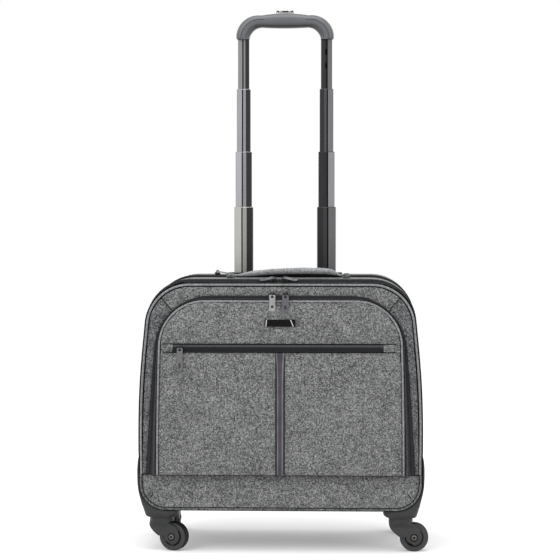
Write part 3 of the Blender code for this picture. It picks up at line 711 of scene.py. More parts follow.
def make_front_bezel():
    """The front lid: zip tape at its back edge, a round front edge and a soft frame round the pocket."""
    front, back = LID_LOW.y, LID_HIGH.y
    rows_of = rows_at(LID_TOP)
    rings = [u_ring(rows_of(0.0006), back), u_ring(rows_of(0.0006), back - TAPE_WIDTH)]
    side = back - TAPE_WIDTH - 0.0008
    for part, puff in ((0.0, 0.0), (0.35, 0.6), (0.7, 0.92), (1.0, 1.0)):
        rings.append(u_ring(rows_of(0.0, puff), side + (front + EDGE_RADIUS - side) * part))
    rings += rounded_end(rows_of, back, front, EDGE_RADIUS, puffed=True)
    outer = u_path(rows_of(EDGE_RADIUS))
    inner = u_path(gusset_rows(-0.0008))
    steps = 6
    for i in range(1, steps + 1):
        t = i / steps
        ring = []
        for (x0, z0), (x1, z1) in zip(outer, inner):
            x, z = x0 + (x1 - x0) * t, z0 + (z1 - z0) * t
            crown = (0.0011 + soft_noise(x, 0.0, z, 0.03, 0.0004)) * math.sin(math.pi * t)
            ring.append(Vector((x, front - crown, z)))
        rings.append(ring)
    rings.append(u_ring(gusset_rows(0.0002), front + 0.0009))
    # Band 2, on the rounded front edge, is painted shade.
    bands = [1, 1, 0, 0, 0, 2, 2, 2, 2, 0] + [0] * steps + [4]
    bm = loft(rings, closed_ring=False, bands=bands)
    columns, mitre = len(outer) - 1, mitre_index(outer)
    bm.faces.ensure_lookup_table()
    # Painted shade: the frame's side strips, outside the columns between the two mitre seams, take the darker
    # side copy of the melange.
    for index, face in enumerate(bm.faces):
        column = index % columns
        on_frame = face.material_index == 0 and index // columns > 8
        if on_frame and not columns - mitre <= column < mitre:
            face.material_index = 3
    grid(gusset_rows(0.0002), front + 0.0009, bm, 4)
    sheet_shell("front_bezel", bm, "lid", ["front_lid"])


def tray_crown(x, z):
    """How far the bottom band's front stands out."""
    up = (z - TRAY_LOW.z) / (TRAY_HIGH.z - TRAY_LOW.z)
    side = max(0.0, 1 - (abs(x) / TRAY_HIGH.x) ** 6)
    return 0.0030 * math.sin(math.pi * min(1.0, max(0.0, up))) ** 0.7 * side


def make_base_section():
    """The lower part of the case, open at the top: front band, sides, underside and back."""
    front, back = TRAY_LOW.y, TRAY_HIGH.y
    radius = EDGE_RADIUS
    rings = rounded_end(tray_rows, back, front, radius)[::-1]
    rings += [u_ring(tray_rows(0.0), front + radius + (back - front - 2 * radius) * i / 4) for i in range(5)]
    rings += rounded_end(tray_rows, front, back, radius)
    bm = loft(rings, closed_ring=False)

    def front_y(x, z):
        puff = tray_crown(x, z) + soft_noise(x, 5.0, z, 0.035, 0.0005) * min(1.0, tray_crown(x, z) / 0.0015)
        return front - puff

    grid(tray_rows(radius), front_y, bm)
    grid(tray_rows(radius), back, bm)
    sheet_shell("base_section", bm, "case", ["lower_tray"])


# ---- front pocket ----
ZIP_Z = (BAND_LOW.z + BAND_HIGH.z) / 2
ZIP_HALF = (BAND_HIGH.z - BAND_LOW.z) / 2
TRIM_HALF = TRIM_HIGH.x


def simulate_panel(obj):
    """Lets the sewn-down panel fill out: cloth pinned at its seams, pushed forwards."""
    pins = obj.vertex_groups.new(name="seams")
    edge = set()
    bm = bmesh.new()
    bm.from_mesh(obj.data)
    for vert in bm.verts:
        x, z = vert.co.x, vert.co.z
        at_zip = abs(z - ZIP_Z) < ZIP_HALF and abs(x) < 0.186
        at_trim = abs(x) < TRIM_HALF and z < TRIM_HIGH.z
        if vert.is_boundary or at_zip or at_trim:
            edge.add(vert.index)
    bm.free()
    pins.add(sorted(edge), 1.0, "REPLACE")
    cloth = add_modifier(obj, "CLOTH")
    settings = cloth.settings
    settings.vertex_group_mass = "seams"
    settings.quality = 6
    settings.mass = 0.25
    settings.tension_stiffness = 40
    settings.compression_stiffness = 40
    settings.shear_stiffness = 12
    settings.bending_stiffness = 6
    settings.shrink_min = -0.012
    settings.effector_weights.gravity = 0.45
    cloth.collision_settings.use_collision = False
    scene = bpy.context.scene
    scene.gravity = (0.0, -9.81, -1.2)
    rest = [vert.co.copy() for vert in obj.data.vertices]
    for step in range(1, 26):
        scene.frame_set(step)
    evaluated = obj.evaluated_get(bpy.context.evaluated_depsgraph_get())
    moved = [vert.co.copy() for vert in evaluated.data.vertices]
    obj.modifiers.remove(cloth)
    scene.frame_set(1)
    scene.gravity = (0.0, 0.0, -9.81)
    cap = 0.0040  # the panel may not move further than this
    for vert, old, new in zip(obj.data.vertices, rest, moved):
        step = new - old
        if step.length > cap:
            step *= cap / step.length
        vert.co = old + step
    obj.vertex_groups.clear()


def make_pocket_skin():
    """The padded front of the pocket, sewn down along its piping, the zip and the centre trim."""

    def skin_y(x, z):
        across = min(1.0, (PANEL_FACE_HALF - abs(x)) / 0.02) * min(1.0, (PANEL_FACE_TOP - z) / 0.02)
        return panel_y(x, z) + soft_noise(x, 1.0, z, 0.045, 0.0007) * max(0.0, across)

    bm = grid(face_rows(0.0), skin_y)
    bmesh.ops.recalc_face_normals(bm, faces=bm.faces[:])
    bm.normal_update()
    if sum(face.normal.y for face in bm.faces) > 0:
        bmesh.ops.reverse_faces(bm, faces=bm.faces[:])
    bmesh.ops.subdivide_edges(bm, edges=bm.edges[:], cuts=1, use_grid_fill=True)
    skin = piece("pocket_front", bm, [FABRIC, LINING], "pocket", ["pocket_panel"])
    simulate_panel(skin)
    add_modifier(skin, "SOLIDIFY", thickness=0.0022, offset=-1.0, material_offset=1, material_offset_rim=1)
    return skin


def surface_of(obj):
    """A function that gives the front surface's y at (x, z)."""
    points = [vert.co for vert in obj.data.vertices]
    tree = BVHTree.FromPolygons(points, [poly.vertices for poly in obj.data.polygons])

    def y_at(x, z):
        hit = tree.ray_cast(Vector((x, -0.5, z)), BACKWARD)
        return hit[0].y if hit[0] else panel_y(x, z)

    return y_at


def make_gusset():
    """The dark zip strip between the bezel and the pocket panel, and the panel's bottom edge."""
    back = PANEL_HIGH.y
    outer = u_path(gusset_rows(0.0))
    inner = u_path(face_rows(0.0004))

    def line_at(part, lift):
        line = []
        for (x0, z0), (x1, z1) in zip(outer, inner):
            y = back + (panel_y(x1, z1) + 0.0004 - back) * part
            line.append(Vector((x0 + (x1 - x0) * part, y - lift, z0 + (z1 - z0) * part)))
        return line

    parts = [i / 5 for i in range(6)]
    bm = loft([line_at(t, -0.0006 * math.sin(math.pi * t)) for t in parts], closed_ring=False)
    obj = piece("pocket_gusset", joined(bm), [GUSSET_FABRIC, LINING], "pocket")
    add_modifier(obj, "SOLIDIFY", thickness=0.0012, offset=-1.0, material_offset=1)
    base = PANEL_LOW.z
    half_in, half_out = PANEL_FACE_HALF - 0.0010, PANEL_HIGH.x - 0.0004
    corners = []
    for z in (base + 0.0002, base + 0.0022):
        corners.append([(half_out, back, z), (-half_out, back, z), (-half_in, PANEL_LOW.y + 0.0022, z)])
        corners[-1].append((half_in, PANEL_LOW.y + 0.0022, z))
    foot = outward(loft(corners))
    piece("pocket_foot", foot, LINING, "pocket", smooth=False)
    forward = [FORWARD] * len(outer)
    teeth = bars_along(line_at(0.30, 0.0004), forward, (0.0034, 0.0010, 0.0011), 0.0018)
    piece("pocket_zip_teeth", outward(teeth), COIL, "pocket", smooth=False)
    rib = ribbon(line_at(0.66, 0.0), forward, 0.0030, 0.0007)
    piece("pocket_gusset_rib", rib, GUSSET_RIB, "pocket")


def cord_piece(name, points, radius, finish, body, sides=10):
    return piece(name, tube_along(points, radius, sides), finish, body)


def ribbon(points, normals, width, lift):
    """A thin flat strip along a line, its face along the normals."""
    rings = []
    for i, point in enumerate(points):
        normal = normals[i]
        side = tangent_at(points, i).cross(normal).normalized()
        ring = []
        for a, b in ((-0.5, 0.0), (-0.42, 1.0), (0.42, 1.0), (0.5, 0.0)):
            ring.append(point + side * width * a + normal * (lift - 0.0005 * (1 - b)))
        rings.append(ring)
    return outward(loft(rings))


def seam_strip(name, line, width, lift, body):
    """The dark shadow of a seam on a front face."""
    piece(name, ribbon(line, [FORWARD] * len(line), width, lift), SEAM, body)


def make_piping():
    """Corded seams round the front of the lid, the bottom band, the pocket panel and the back edge."""
    lid = u_ring(case_rows(PIPING_INSET, LID_TOP, puff=0.93), LID_LOW.y + 0.0006)
    base = u_ring(tray_rows(PIPING_INSET - 0.0008), TRAY_LOW.y + 0.0004)
    pocket = u_ring(face_rows(0.0004), lambda x, z: panel_y(x, z) + 0.0004)
    for name, body, line, finish, width, seam_lift, lift in (
        ("lid_piping", "lid", lid, HIGHLIT_PIPING, 0.0080, 0.0010, 0.0006),
        # The base piping takes the darker side copy of the melange: painted shade along the bottom.
        ("base_piping", "case", base, SHADED_SIDE_FABRIC, 0.0056, 0.0010, 0.0006),
        ("pocket_piping", "pocket", pocket, HIGHLIT_PIPING, 0.0058, 0.0015, 0.0008),
    ):
        seam_strip(name + "_seam", line, width, seam_lift, body)
        cord_piece(name, [p + FORWARD * lift for p in line], PIPING_RADIUS, finish, body)
    rear = u_ring(case_rows(0.0036, REAR_HIGH.z), REAR_HIGH.y - 0.0036)
    cord_piece("rear_piping", rear, PIPING_RADIUS, HIGHLIT_PIPING, "case")
    rear = u_ring(tray_rows(0.0022), TRAY_HIGH.y - 0.0022)
    cord_piece("base_rear_piping", rear, PIPING_RADIUS, HIGHLIT_PIPING, "case")


def make_mitre_seams():
    """Short seams across the bezel at its upper corners, and darts in the bottom band's corners."""
    outer, inner = u_path(case_rows(EDGE_RADIUS, LID_TOP)), u_path(gusset_rows(-0.0008))
    mitre = mitre_index(outer)
    (x0, z0), (x1, z1) = outer[mitre], inner[mitre]
    for side, sign in SIDES:
        line = []
        for i in range(9):
            t = i / 8
            x, z = x0 + (x1 - x0) * t, z0 + (z1 - z0) * t
            line.append(Vector((sign * x, LID_LOW.y - 0.0011 * math.sin(math.pi * t), z)))
        seam_strip("bezel_mitre_" + side, line, 0.0011, 0.0006, "lid")
        start, end = Vector((0.2000, 0.0, 0.0930)), Vector((0.2045, 0.0, 0.0860))
        line = [start.lerp(end, i / 6) for i in range(7)]
        line = [Vector((sign * p.x, TRAY_LOW.y - tray_crown(p.x, p.z), p.z)) for p in line]
        seam_strip("base_dart_" + side, line, 0.0012, 0.0006, "case")


def make_pocket_zip(y_at):
    """The level zip: a flat tape with its coil between two lips, and fabric tabs at its ends."""
    zip_left, zip_right = -0.1682, 0.1613
    columns = [zip_left + (zip_right - zip_left) * i / 60 for i in range(61)]

    def strip(name, low, high, lift, thick, finish, x_list=columns, bulge=0.0):
        rings = []
        for x in x_list:
            ring = []
            for k, (part, up) in enumerate(((0, 0), (0.12, 1), (0.5, 1), (0.88, 1), (1, 0))):
                z = ZIP_Z + low + (high - low) * part
                extra = bulge if k == 2 else 0.0
                ring.append(Vector((x, y_at(x, z) - (lift + thick * up + extra if up else -0.0008), z)))
            rings.append(ring)
        return piece(name, outward(loft(rings)), finish, "pocket", sharp=60)

    base = strip("pocket_zip_tape", -0.0056, 0.0076, 0.0002, 0.0004, TAPE)
    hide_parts("pocket_zip_band")
    strip("pocket_zip_lip_upper", 0.0016, 0.0062, 0.0006, 0.0007, TAPE_LIP, bulge=0.0003)
    strip("pocket_zip_lip_lower", -0.0054, -0.0036, 0.0006, 0.0007, TAPE, bulge=0.0003)
    for side, low, high in (("left", -0.1862, zip_left), ("right", zip_right, 0.1823)):
        x_list = [low + (high - low) * i / 6 for i in range(7)]
        tab = strip("pocket_zip_tab_" + side, -0.0054, 0.0074, 0.0006, 0.0006, FABRIC, x_list, 0.0002)
    line = [Vector((x, y_at(x, ZIP_Z) - 0.0008, ZIP_Z)) for x in columns]
    teeth = bars_along(line, [FORWARD] * len(line), (0.0040, 0.0009, 0.0012), 0.0016)
    piece("pocket_zip_coil", outward(teeth), COIL, "pocket", smooth=False)
    bm = bmesh.new()
    seam_x = [-0.184 + 0.365 * i / 90 for i in range(91)]
    for dz in (-0.0060, 0.0071):
        row = [Vector((x, y_at(x, ZIP_Z + dz), ZIP_Z + dz)) for x in seam_x]
        seam_strip("pocket_zip_seam_" + ("lower" if dz < 0 else "upper"), row, 0.0012, 0.0009, "pocket")
        row = [p + Vector((0, 0, 0.0022 if dz > 0 else -0.0022)) for p in row]
        row = [Vector((p.x, y_at(p.x, p.z), p.z)) for p in row]
        stitches(row, [FORWARD] * len(row), bm)
    piece("pocket_zip_stitches", outward(bm), THREAD, "pocket")


def make_centre_trim(y_at):
    """The leatherette strip down the middle: a soft channel between two rolled ridges on a dark base. The
    ridges' light tone is a painted highlight, and the dark base showing beside the channel is painted shadow.
    """
    low, high = TRIM_LOW.z, ZIP_Z - 0.0066
    steps = 36
    base, channel = [], []
    lines = {"left": [], "right": []}
    for i in range(steps + 1):
        z = low + (high - low) * i / steps
        near_top = max(0.0, (z - high + 0.050) / 0.050)
        flare = 0.0020 * near_top**2
        half = min(TRIM_HALF - 0.0002, 0.0086 + flare * 0.6)
        sides = ((-1, -0.0006), (-0.94, 0.0006), (0, 0.0006), (0.94, 0.0006), (1, -0.0006))
        base.append([Vector((half * part, y_at(half * part, z) - lift, z)) for part, lift in sides])
        ring = []
        for part, lift in ((-1, 0.0), (-0.9, 0.0012), (0, 0.0015), (0.9, 0.0012), (1, 0.0)):
            x = part * (0.0050 + flare)
            ring.append(Vector((x, y_at(x, z) - lift, z)))
        channel.append(ring)
        for side, x in (("left", -0.0038 - flare), ("right", 0.0036 + flare)):
            lines[side].append(Vector((x, y_at(x, z) - 0.0011, z)))
    under = outward(loft(base))
    piece("centre_base", under, DARK_LEATHER_AND_SHADE, "pocket", ["centre_trim"], sharp=60)
    strip = piece("centre_strip", outward(loft(channel)), LEATHER, "pocket", sharp=60)
    smooth_more(strip)
    for side, radius in (("left", 0.0010), ("right", 0.0014)):
        cord_piece("centre_ridge_" + side, lines[side], radius, HIGHLIT_RIDGE_LEATHER, "pocket", 10)


def make_badge(y_at):
    """A blank black plate with a bright strip at each end: its polished metal ends, drawn only where they
    carry a painted highlight.
    """
    centre = (BADGE_LOW + BADGE_HIGH) / 2
    width, height = BADGE_HIGH.x - BADGE_LOW.x, BADGE_HIGH.z - BADGE_LOW.z
    y = min(y_at(x, centre.z) for x in (-0.02, 0.0, 0.02)) - 0.0002
    lean = (PANEL_TOP_Y - PANEL_LOW.y) / (PANEL_FACE_TOP - PANEL_LOW.z)

    def place(u, v, w):
        return u, y - w + v * lean, centre.z + v

    shape = slab([rounded(width, height - 0.0010, 0.0012)], place, 0.0018)
    plate = piece("badge_face", shape, BADGE_BLACK, "pocket", ["badge_plate"], sharp=30)
    round_edges(plate, 0.0003)
    tall = height / 2 - 0.0008
    for side, low_x, high_x, wide in (("left", -0.0228, -0.0218, 0.0014), ("right", 0.0200, 0.0156, 0.0014)):
        loop = [(low_x, -tall), (low_x + wide, -tall), (high_x + wide, tall), (high_x, tall)]
        piece("badge_strip_" + side, slab([loop], place, 0.0021), BADGE_GLINT_METAL, "pocket", smooth=False)


# ---- top of the case: handle, anchors, divider ----
def linear_table(table, x):
    """The value at x between the rows of a table."""
    for (x0, v0), (x1, v1) in zip(table, table[1:]):
        if x <= x1:
            return v0 + (v1 - v0) * min(1.0, max(0.0, (x - x0) / (x1 - x0)))
    return table[-1][1]


def softened(table, x, reach):
    """The mean of a table's values round x, so that its corners turn soft."""
    return sum(linear_table(table, x + reach * k / 3) for k in (-3, -2, -1, 0, 1, 2, 3)) / 7


HANDLE_SEAM = [
    (-0.0760, 0.4320), (-0.0620, 0.4320), (-0.0433, 0.4326), (-0.0321, 0.4338), (-0.0180, 0.4350),
    (-0.0050, 0.4357), (0.0367, 0.4360), (0.0750, 0.4356), (0.0860, 0.4340), (0.0960, 0.4320),
]
HANDLE_TOP = [
    (-0.0760, 0.4340), (-0.0700, 0.4350), (-0.0620, 0.4375), (-0.0513, 0.4402), (-0.0433, 0.4412),
    (-0.0353, 0.4422), (-0.0193, 0.4437), (0.0127, 0.4451), (0.0367, 0.4459), (0.0600, 0.4456),
    (0.0780, 0.4440), (0.0860, 0.4405), (0.0905, 0.4362), (0.0960, 0.4328),
]


KEEL_Z = 0.4301  # the keel of the strap's dark underside is never higher


def make_handle():
    """A padded strap: melange on top, dark leatherette below that is partly a real dark underside and partly
    painted shadow, thickest right of the middle.
    """
    mid_y = (HANDLE_LOW.y + HANDLE_HIGH.y) / 2
    middle, half = (HANDLE_LOW.x + HANDLE_HIGH.x) / 2, (HANDLE_HIGH.x - HANDLE_LOW.x) / 2
    steps = 64
    rings, belly, front_line, back_line = [], [], [], []
    for i in range(steps + 1):
        t = -1 + 2 * i / steps
        x = middle + t * half
        swell = max(0.0, 1 - t * t) ** 0.5
        seam = softened(HANDLE_SEAM, x, 0.005)
        room = 0.0137 - 2.14 * (0.4350 - seam)  # what lets the strap swing clear of the case
        width = min(0.0125 + 0.0165 * swell, 2 * room)
        wave = soft_noise(x, 2.0, 0.0, 0.02, 0.0006) * swell
        top = softened(HANDLE_TOP, x, 0.005) + wave
        thick = top - seam
        mid = top - thick / 2
        rings.append([Vector((x, mid_y + u, mid + v)) for u, v in rounded(width, thick, thick * 0.48, 5)])
        low = mid - thick / 2
        keel = min(low - 0.0002, KEEL_Z)
        slope = min(low - 0.0001, KEEL_Z + 0.0014)
        edge = (width / 2 - 0.0022) * 0.97
        keel_half = min(0.0022, edge * 0.3)
        slope_half = min(0.0050, edge * 0.7)
        wide = [
            (-edge, low + 0.0022), (-edge * 0.98, low + 0.0002), (-slope_half, slope), (-keel_half, keel),
            (keel_half, keel), (slope_half, slope), (edge * 0.98, low + 0.0002), (edge, low + 0.0022),
        ]
        belly.append([Vector((middle + (x - middle) * 0.985, mid_y + u, v)) for u, v in wide])
        if abs(t) < 0.74:
            front_line.append(Vector((x, mid_y - width / 2 + 0.0004, mid + thick * 0.12)))
            back_line.append(Vector((x, mid_y + width / 2 - 0.0004, mid + thick * 0.12)))
    pad = outward(loft(rings))
    strap = piece("handle_pad", pad, HANDLE_FABRIC, "handle", ["carry_handle"], sharp=60)
    under = piece("handle_underside", outward(loft(belly)), DARK_LEATHER_AND_SHADE, "handle", sharp=60)
    smooth_more(under)
    bm = bmesh.new()
    for line, normal in ((front_line, FORWARD), (back_line, BACKWARD)):
        shifted_line = [p - Vector((0, 0, 0.0016)) for p in line]
        stitches(shifted_line, [normal] * len(line), bm, 0.0024, 0.0037, 0.00028)
    piece("handle_stitches", outward(bm), THREAD, "handle")


def stacked(levels, width, depth, radius, place):
    """A block of rounded rectangles, one for each (height, inset)."""
    rings = []
    for height, inset in levels:
        shape = rounded(width - 2 * inset, depth - 2 * inset, radius, 4)
        rings.append([Vector(place(u, v, height)) for u, v in shape])
    return outward(loft(rings))


def make_anchors():
    """The fabric tabs that hold the carry handle, each sewn with a box and a cross."""
    bm = bmesh.new()
    for side in ("left", "right"):
        low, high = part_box("handle_anchor_" + side)
        middle, size = (low + high) / 2, high - low
        tall = size.z - 0.0012
        parts = ((0.0, 0.0006), (0.15, 0.0), (0.70, 0.0), (0.90, 0.0006), (1.0, 0.0020))
        levels = [(part * tall, inset) for part, inset in parts]
        block = stacked(levels, size.x, size.y, 0.0025, moved_to(middle.x, middle.y, low.z))
        name = "handle_tab_" + side
        tab = piece(name, block, FABRIC, "middle_section", ["handle_anchor_" + side])
        smooth_more(tab)
        top = high.z - 0.0011
        inset = 0.0026
        corners = [(low.x + inset, low.y + inset), (high.x - inset, low.y + inset)]
        corners += [(high.x - inset, high.y - inset), (low.x + inset, high.y - inset)]
        ends = [Vector((x, y, top)) for x, y in corners]
        for a, b in ((0, 1), (1, 2), (2, 3), (3, 0), (0, 2), (1, 3)):
            line = [ends[a].lerp(ends[b], i / 8) for i in range(9)]
            stitches(line, [Vector((0, 0, 1))] * 9, bm, 0.0019, 0.0027, 0.00026)
    piece("handle_tab_stitches", outward(bm), THREAD, "middle_section")


def make_divider():
    """The padded partition in front of the main compartment."""
    low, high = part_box("laptop_divider")
    half, top, base = high.x, high.z, low.z
    middle = (low.y + high.y) / 2
    rows = [(base, 0.188)] + shape_rows(half, half - 0.0095, 0.130, SIDE_STRAIGHT_TOP, top, 0.065)

    def crown(sign):
        def y(x, z):
            edge = min(1.0, (half - abs(x)) / 0.02, (top - z) / 0.02, (z - base) / 0.02)
            quilt = 0.0012 * abs(math.sin(z * 70)) * max(0.0, edge)
            return middle + sign * (0.0010 + quilt)
        return y

    bm = grid(rows, crown(-1))
    grid(rows, crown(1), bm)
    front, back = u_ring(rows, crown(-1)), u_ring(rows, crown(1))
    loft([front, back], closed_ring=False, bm=bm)
    left, right = front[0], front[-1]
    loft([[left, right], [back[0], back[-1]]], closed_ring=False, bm=bm)
    bmesh.ops.remove_doubles(bm, verts=bm.verts[:], dist=0.00003)
    panel = piece("divider_pad", outward(bm), LINING, "middle_section", ["laptop_divider"])
    line = [Vector((x, middle, z)) for x, z in u_path(rows)]
    cord_piece("divider_binding", line, 0.0016, TAPE, "middle_section", 8)


def make_trolley_cover():
    """The lining over the trolley tubes: a soft channel that is open at the back."""
    low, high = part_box("trolley_cover")
    half = high.x
    levels = 40
    rings = []
    for i in range(levels + 1):
        z = low.z + (high.z - low.z) * i / levels
        ease = min(1.0, i / 4, (levels - i) / 4)
        ring = []
        outside = [(-half, high.y), (-half, low.y + 0.004), (-half + 0.004, low.y)]
        outside += [(half * (-1 + 2 * k / 12) * 0.92, low.y) for k in range(13)]
        outside += [(half - 0.004, low.y), (half, low.y + 0.004), (half, high.y)]
        for x, y in outside:
            soft = soft_noise(x, y, z, 0.05, 0.0006) * ease if y <= low.y else 0.0
            ring.append(Vector((x, y + abs(soft), z)))
        inside = [(x * 0.981, y + 0.0018 if y < high.y else y) for x, y in reversed(outside)]
        ring += [Vector((x, y, z)) for x, y in inside]
        rings.append(ring)
    cover = piece("tube_cover", outward(loft(rings)), LINING, "case", ["trolley_cover"], sharp=50)


def radial(path):
    """Outward directions along a U-shaped line of (x, z)."""
    normals = []
    for i in range(len(path)):
        (x0, z0), (x1, z1) = path[max(0, i - 1)], path[min(len(path) - 1, i + 1)]
        along = Vector((x1 - x0, 0, z1 - z0)).normalized()
        normals.append(Vector((-along.z, 0, along.x)))
    return normals


def make_zip_rows():
    """The teeth and the stitching of the two long zips, half on each side of the opening."""
    edges = (
        ("lid_zip_teeth", "lid", LID_HIGH.z, LID_HIGH.y, -1),
        ("middle_front_teeth", "middle_section", MIDDLE_HIGH.z, MIDDLE_LOW.y, 1),
        ("middle_back_teeth", "middle_section", MIDDLE_HIGH.z, MIDDLE_HIGH.y, -1),
        ("rear_zip_teeth", "case", REAR_HIGH.z, REAR_LOW.y, 1),
    )
    for name, body, top, y, way in edges:
        path = u_path(case_rows(0.0004, top))
        normals = radial(path)
        line = [Vector((x, y + way * 0.0006, z)) for x, z in path]
        teeth = bars_along(line, normals, (0.0016, 0.0009, 0.0012), 0.0018)
        piece(name, outward(teeth), COIL, body, smooth=False)
        path = u_path(case_rows(0.0, top))
        line = [Vector((x, y + way * (TAPE_WIDTH + 0.0028), z)) for x, z in path]
        row = stitches(line, normals, bmesh.new(), 0.0024, 0.0040, 0.00030)
        piece(name.replace("teeth", "stitches"), outward(row), THREAD, body)


# ---- trolley ----
def tube_section(width, depth, sign, inset=0.0):
    """Cross-section with an outer facet, a groove and a dark inner facet, as (x, y, finish). The groove takes
    painted shade, and the inner facet's dark tone is partly a real darker facet and partly painted
    reflection.
    """
    a, d = width / 2, depth / 2
    notch = (0.0008 if inset == 0.0 else 0.0) / d
    start, end = -0.22, -0.22 + 0.0021 / a
    corners = [
        (-1.00, 0.55, 0), (-1.00, -0.35, 0), (-0.92, -0.64, 0),
        (start, -1.0, 2), (start + 0.01, -1.0 + notch, 2), (end - 0.01, -1.0 + notch, 2), (end, -1.0, 1),
        (0.34, -1.0, 3), (0.92, -0.64, 3), (1.0, -0.35, 3), (1.0, 0.55, 3), (0.80, 1.0, 1), (-0.80, 1.0, 0),
    ]
    return [(-sign * u * (a - inset), v * (d - inset), finish) for u, v, finish in corners]


def make_tube(node, sign, finishes, body):
    """One hollow leg with a small chamfer round its upper end."""
    low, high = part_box(node)
    width, depth = high.x - low.x, high.y - low.y
    cx, cy = (low.x + high.x) / 2, (low.y + high.y) / 2
    outer = tube_section(width, depth, sign)
    inner = tube_section(width, depth, sign, 0.0012)
    small = tube_section(width - 0.0012, depth - 0.0012, sign)
    levels = [(low.z, outer), (high.z - 0.0009, outer), (high.z, small), (high.z, inner), (low.z, inner)]
    bm = bmesh.new()
    rows = [[bm.verts.new((cx + x, cy + y, z)) for x, y, _ in shape] for z, shape in levels]
    count = len(outer)
    rows.append(rows[0])
    for step, (first, second) in enumerate(zip(rows, rows[1:])):
        for i in range(count):
            j = (i + 1) % count
            face = bm.faces.new((first[i], first[j], second[j], second[i]))
            # The top rim and the inside take the groove's near-black: painted shade.
            face.material_index = outer[i][2] if step == 0 else (1 if step == 1 else 2)
    outward(bm)
    leg = piece(node.replace("_tube_", "_leg_"), bm, finishes, body, [node], smooth=False)
    round_edges(leg, 0.0003, angle=25)


def anodised(name, value, cool):
    """Metal with long fine streaks along z; cool above 0 makes it bluer, below 0 warmer."""
    colour = (value * (1 - cool), value * (1 - cool), value * (1 + cool))
    return metal(name, colour, 0.44, (900.0, 900.0, 18.0), spread=0.06)


def make_tubes():
    """Legs in four moving stages; the outer facets are the bright ones. The facet tones, brighter on the left
    legs than on the right, are painted reflection; the groove, the inside and the lock holes are painted
    shade.
    """
    groove_shade = moulded_plastic("tube_groove", grey(0.003), 0.8, gloss=0.0)
    # Painted reflection: the left legs' facets are given brighter tones than the right legs'.
    painted_reflection_tones = {
        1: ((0.400, -0.035, 0.300, -0.035), (0.125, 0.02, 0.050, 0.0)),
        2: ((0.360, 0.03, 0.250, 0.02), (0.225, 0.03, 0.034, 0.03)),
        3: ((0.290, 0.03, 0.270, 0.02), (0.155, 0.03, 0.075, 0.02)),
        4: ((0.205, 0.02, 0.210, 0.02), (0.130, 0.01, 0.034, 0.02)),
    }
    for stage, pair in painted_reflection_tones.items():
        for (side, sign), (outer, cool, front, cool_front) in zip(SIDES, pair):
            tag = f"{stage}_{side}"
            finishes = [
                anodised("tube_outer_" + tag, outer, cool),
                anodised("tube_front_" + tag, front, cool_front),
                groove_shade,
                # The dark inner facet: partly a real darker facet, partly painted reflection.
                anodised("tube_inner_" + tag, 0.034, 0.02),
            ]
            make_tube(f"stage_{stage}_tube_{side}", sign, finishes, f"stage_{stage}")
    for side in ("left", "right"):
        dress("fixed_tube_" + side, TUBE_DARK)
    # The lock holes are dark marks on the front facet: painted shade in the holes.
    bm = bmesh.new()
    low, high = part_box("stage_4_tube_right")
    for z in (0.8011, 0.7790):
        mark = slab(
            [rounded(0.0036, 0.0100, 0.0017, 5)],
            lambda u, v, w, c=z: ((low.x + high.x) / 2 - 0.0004 + u, low.y - 0.00012 + w, c + v),
            0.0008,
        )
        copy_into(bm, mark)
    piece("lock_holes", bm, groove_shade, "stage_4", smooth=False)


def copy_into(bm, other):
    """Adds one mesh to another."""
    mesh = mesh_of("part", other)
    bm.from_mesh(mesh)
    bpy.data.meshes.remove(mesh)


def dress(node, finish, bevel=0.0):
    """Gives a CAD node its finish."""
    obj = frame["nodes"][node]
    obj.data.materials.clear()
    obj.data.materials.append(finish)
    if bevel:
        round_edges(obj, bevel)


def carve(obj, bm, sharp):
    """Cuts a closed mesh out of a piece and shades it again."""
    mesh = mesh_of("cutter", bm)
    tool = added("cutter", mesh)
    cut = add_modifier(obj, "BOOLEAN", operation="DIFFERENCE", solver="EXACT", object=tool)
    evaluated = obj.evaluated_get(bpy.context.evaluated_depsgraph_get())
    obj.data = bpy.data.meshes.new_from_object(evaluated)
    obj.modifiers.remove(cut)
    bpy.data.objects.remove(tool)
    bpy.data.meshes.remove(mesh)
    obj.data.shade_smooth()
    obj.data.set_sharp_from_angle(angle=math.radians(sharp))


def moved_to(x, y, z):
    """A place for u, v and w along the axes, from the point (x, y, z)."""

    def place(u, v, w):
        return x + u, y + v, z + w

    return place


def grip_line():
    """Centre line of the grip as (x, z, tangent angle, size)."""
    leg_x = (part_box("stage_4_tube_right")[0].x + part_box("stage_4_tube_right")[1].x) / 2
    leg, corner, bar, radius = 0.0194, 0.0190, 0.0245, 0.0270
    reach = leg_x - radius
    bar_z = GRIP_HIGH.z - bar / 2
    corner_z = bar_z - 0.0012 - radius
    points = []
    for i in range(5):
        t = i / 5
        bulge = 0.0024 * math.sin(math.pi * min(1.0, 0.12 + t * 0.5)) ** 2
        z = GRIP_LOW.z + (corner_z - GRIP_LOW.z) * t
        points.append((-leg_x - bulge * 0.42, z, math.pi / 2, leg + bulge))
    for i in range(15):
        turn = math.pi / 2 * i / 14
        bulge = 0.0024 * math.cos(turn) ** 3
        size = leg + (corner + 0.0015 - leg) * math.sin(turn) + 0.0026 * math.sin(2 * turn) + bulge
        x = -reach - (radius + bulge * 0.42) * math.cos(turn)
        points.append((x, corner_z + radius * math.sin(turn), math.pi / 2 - turn, size))
    for i in range(1, 13):
        t = -1 + i / 12
        swell = 1 - t * t
        points.append((t * reach, bar_z - 0.0012 * (1 - swell), 0.0, corner + (bar - corner) * swell))
    return points + [(-x, z, -angle, size) for x, z, angle, size in reversed(points[:-1])]


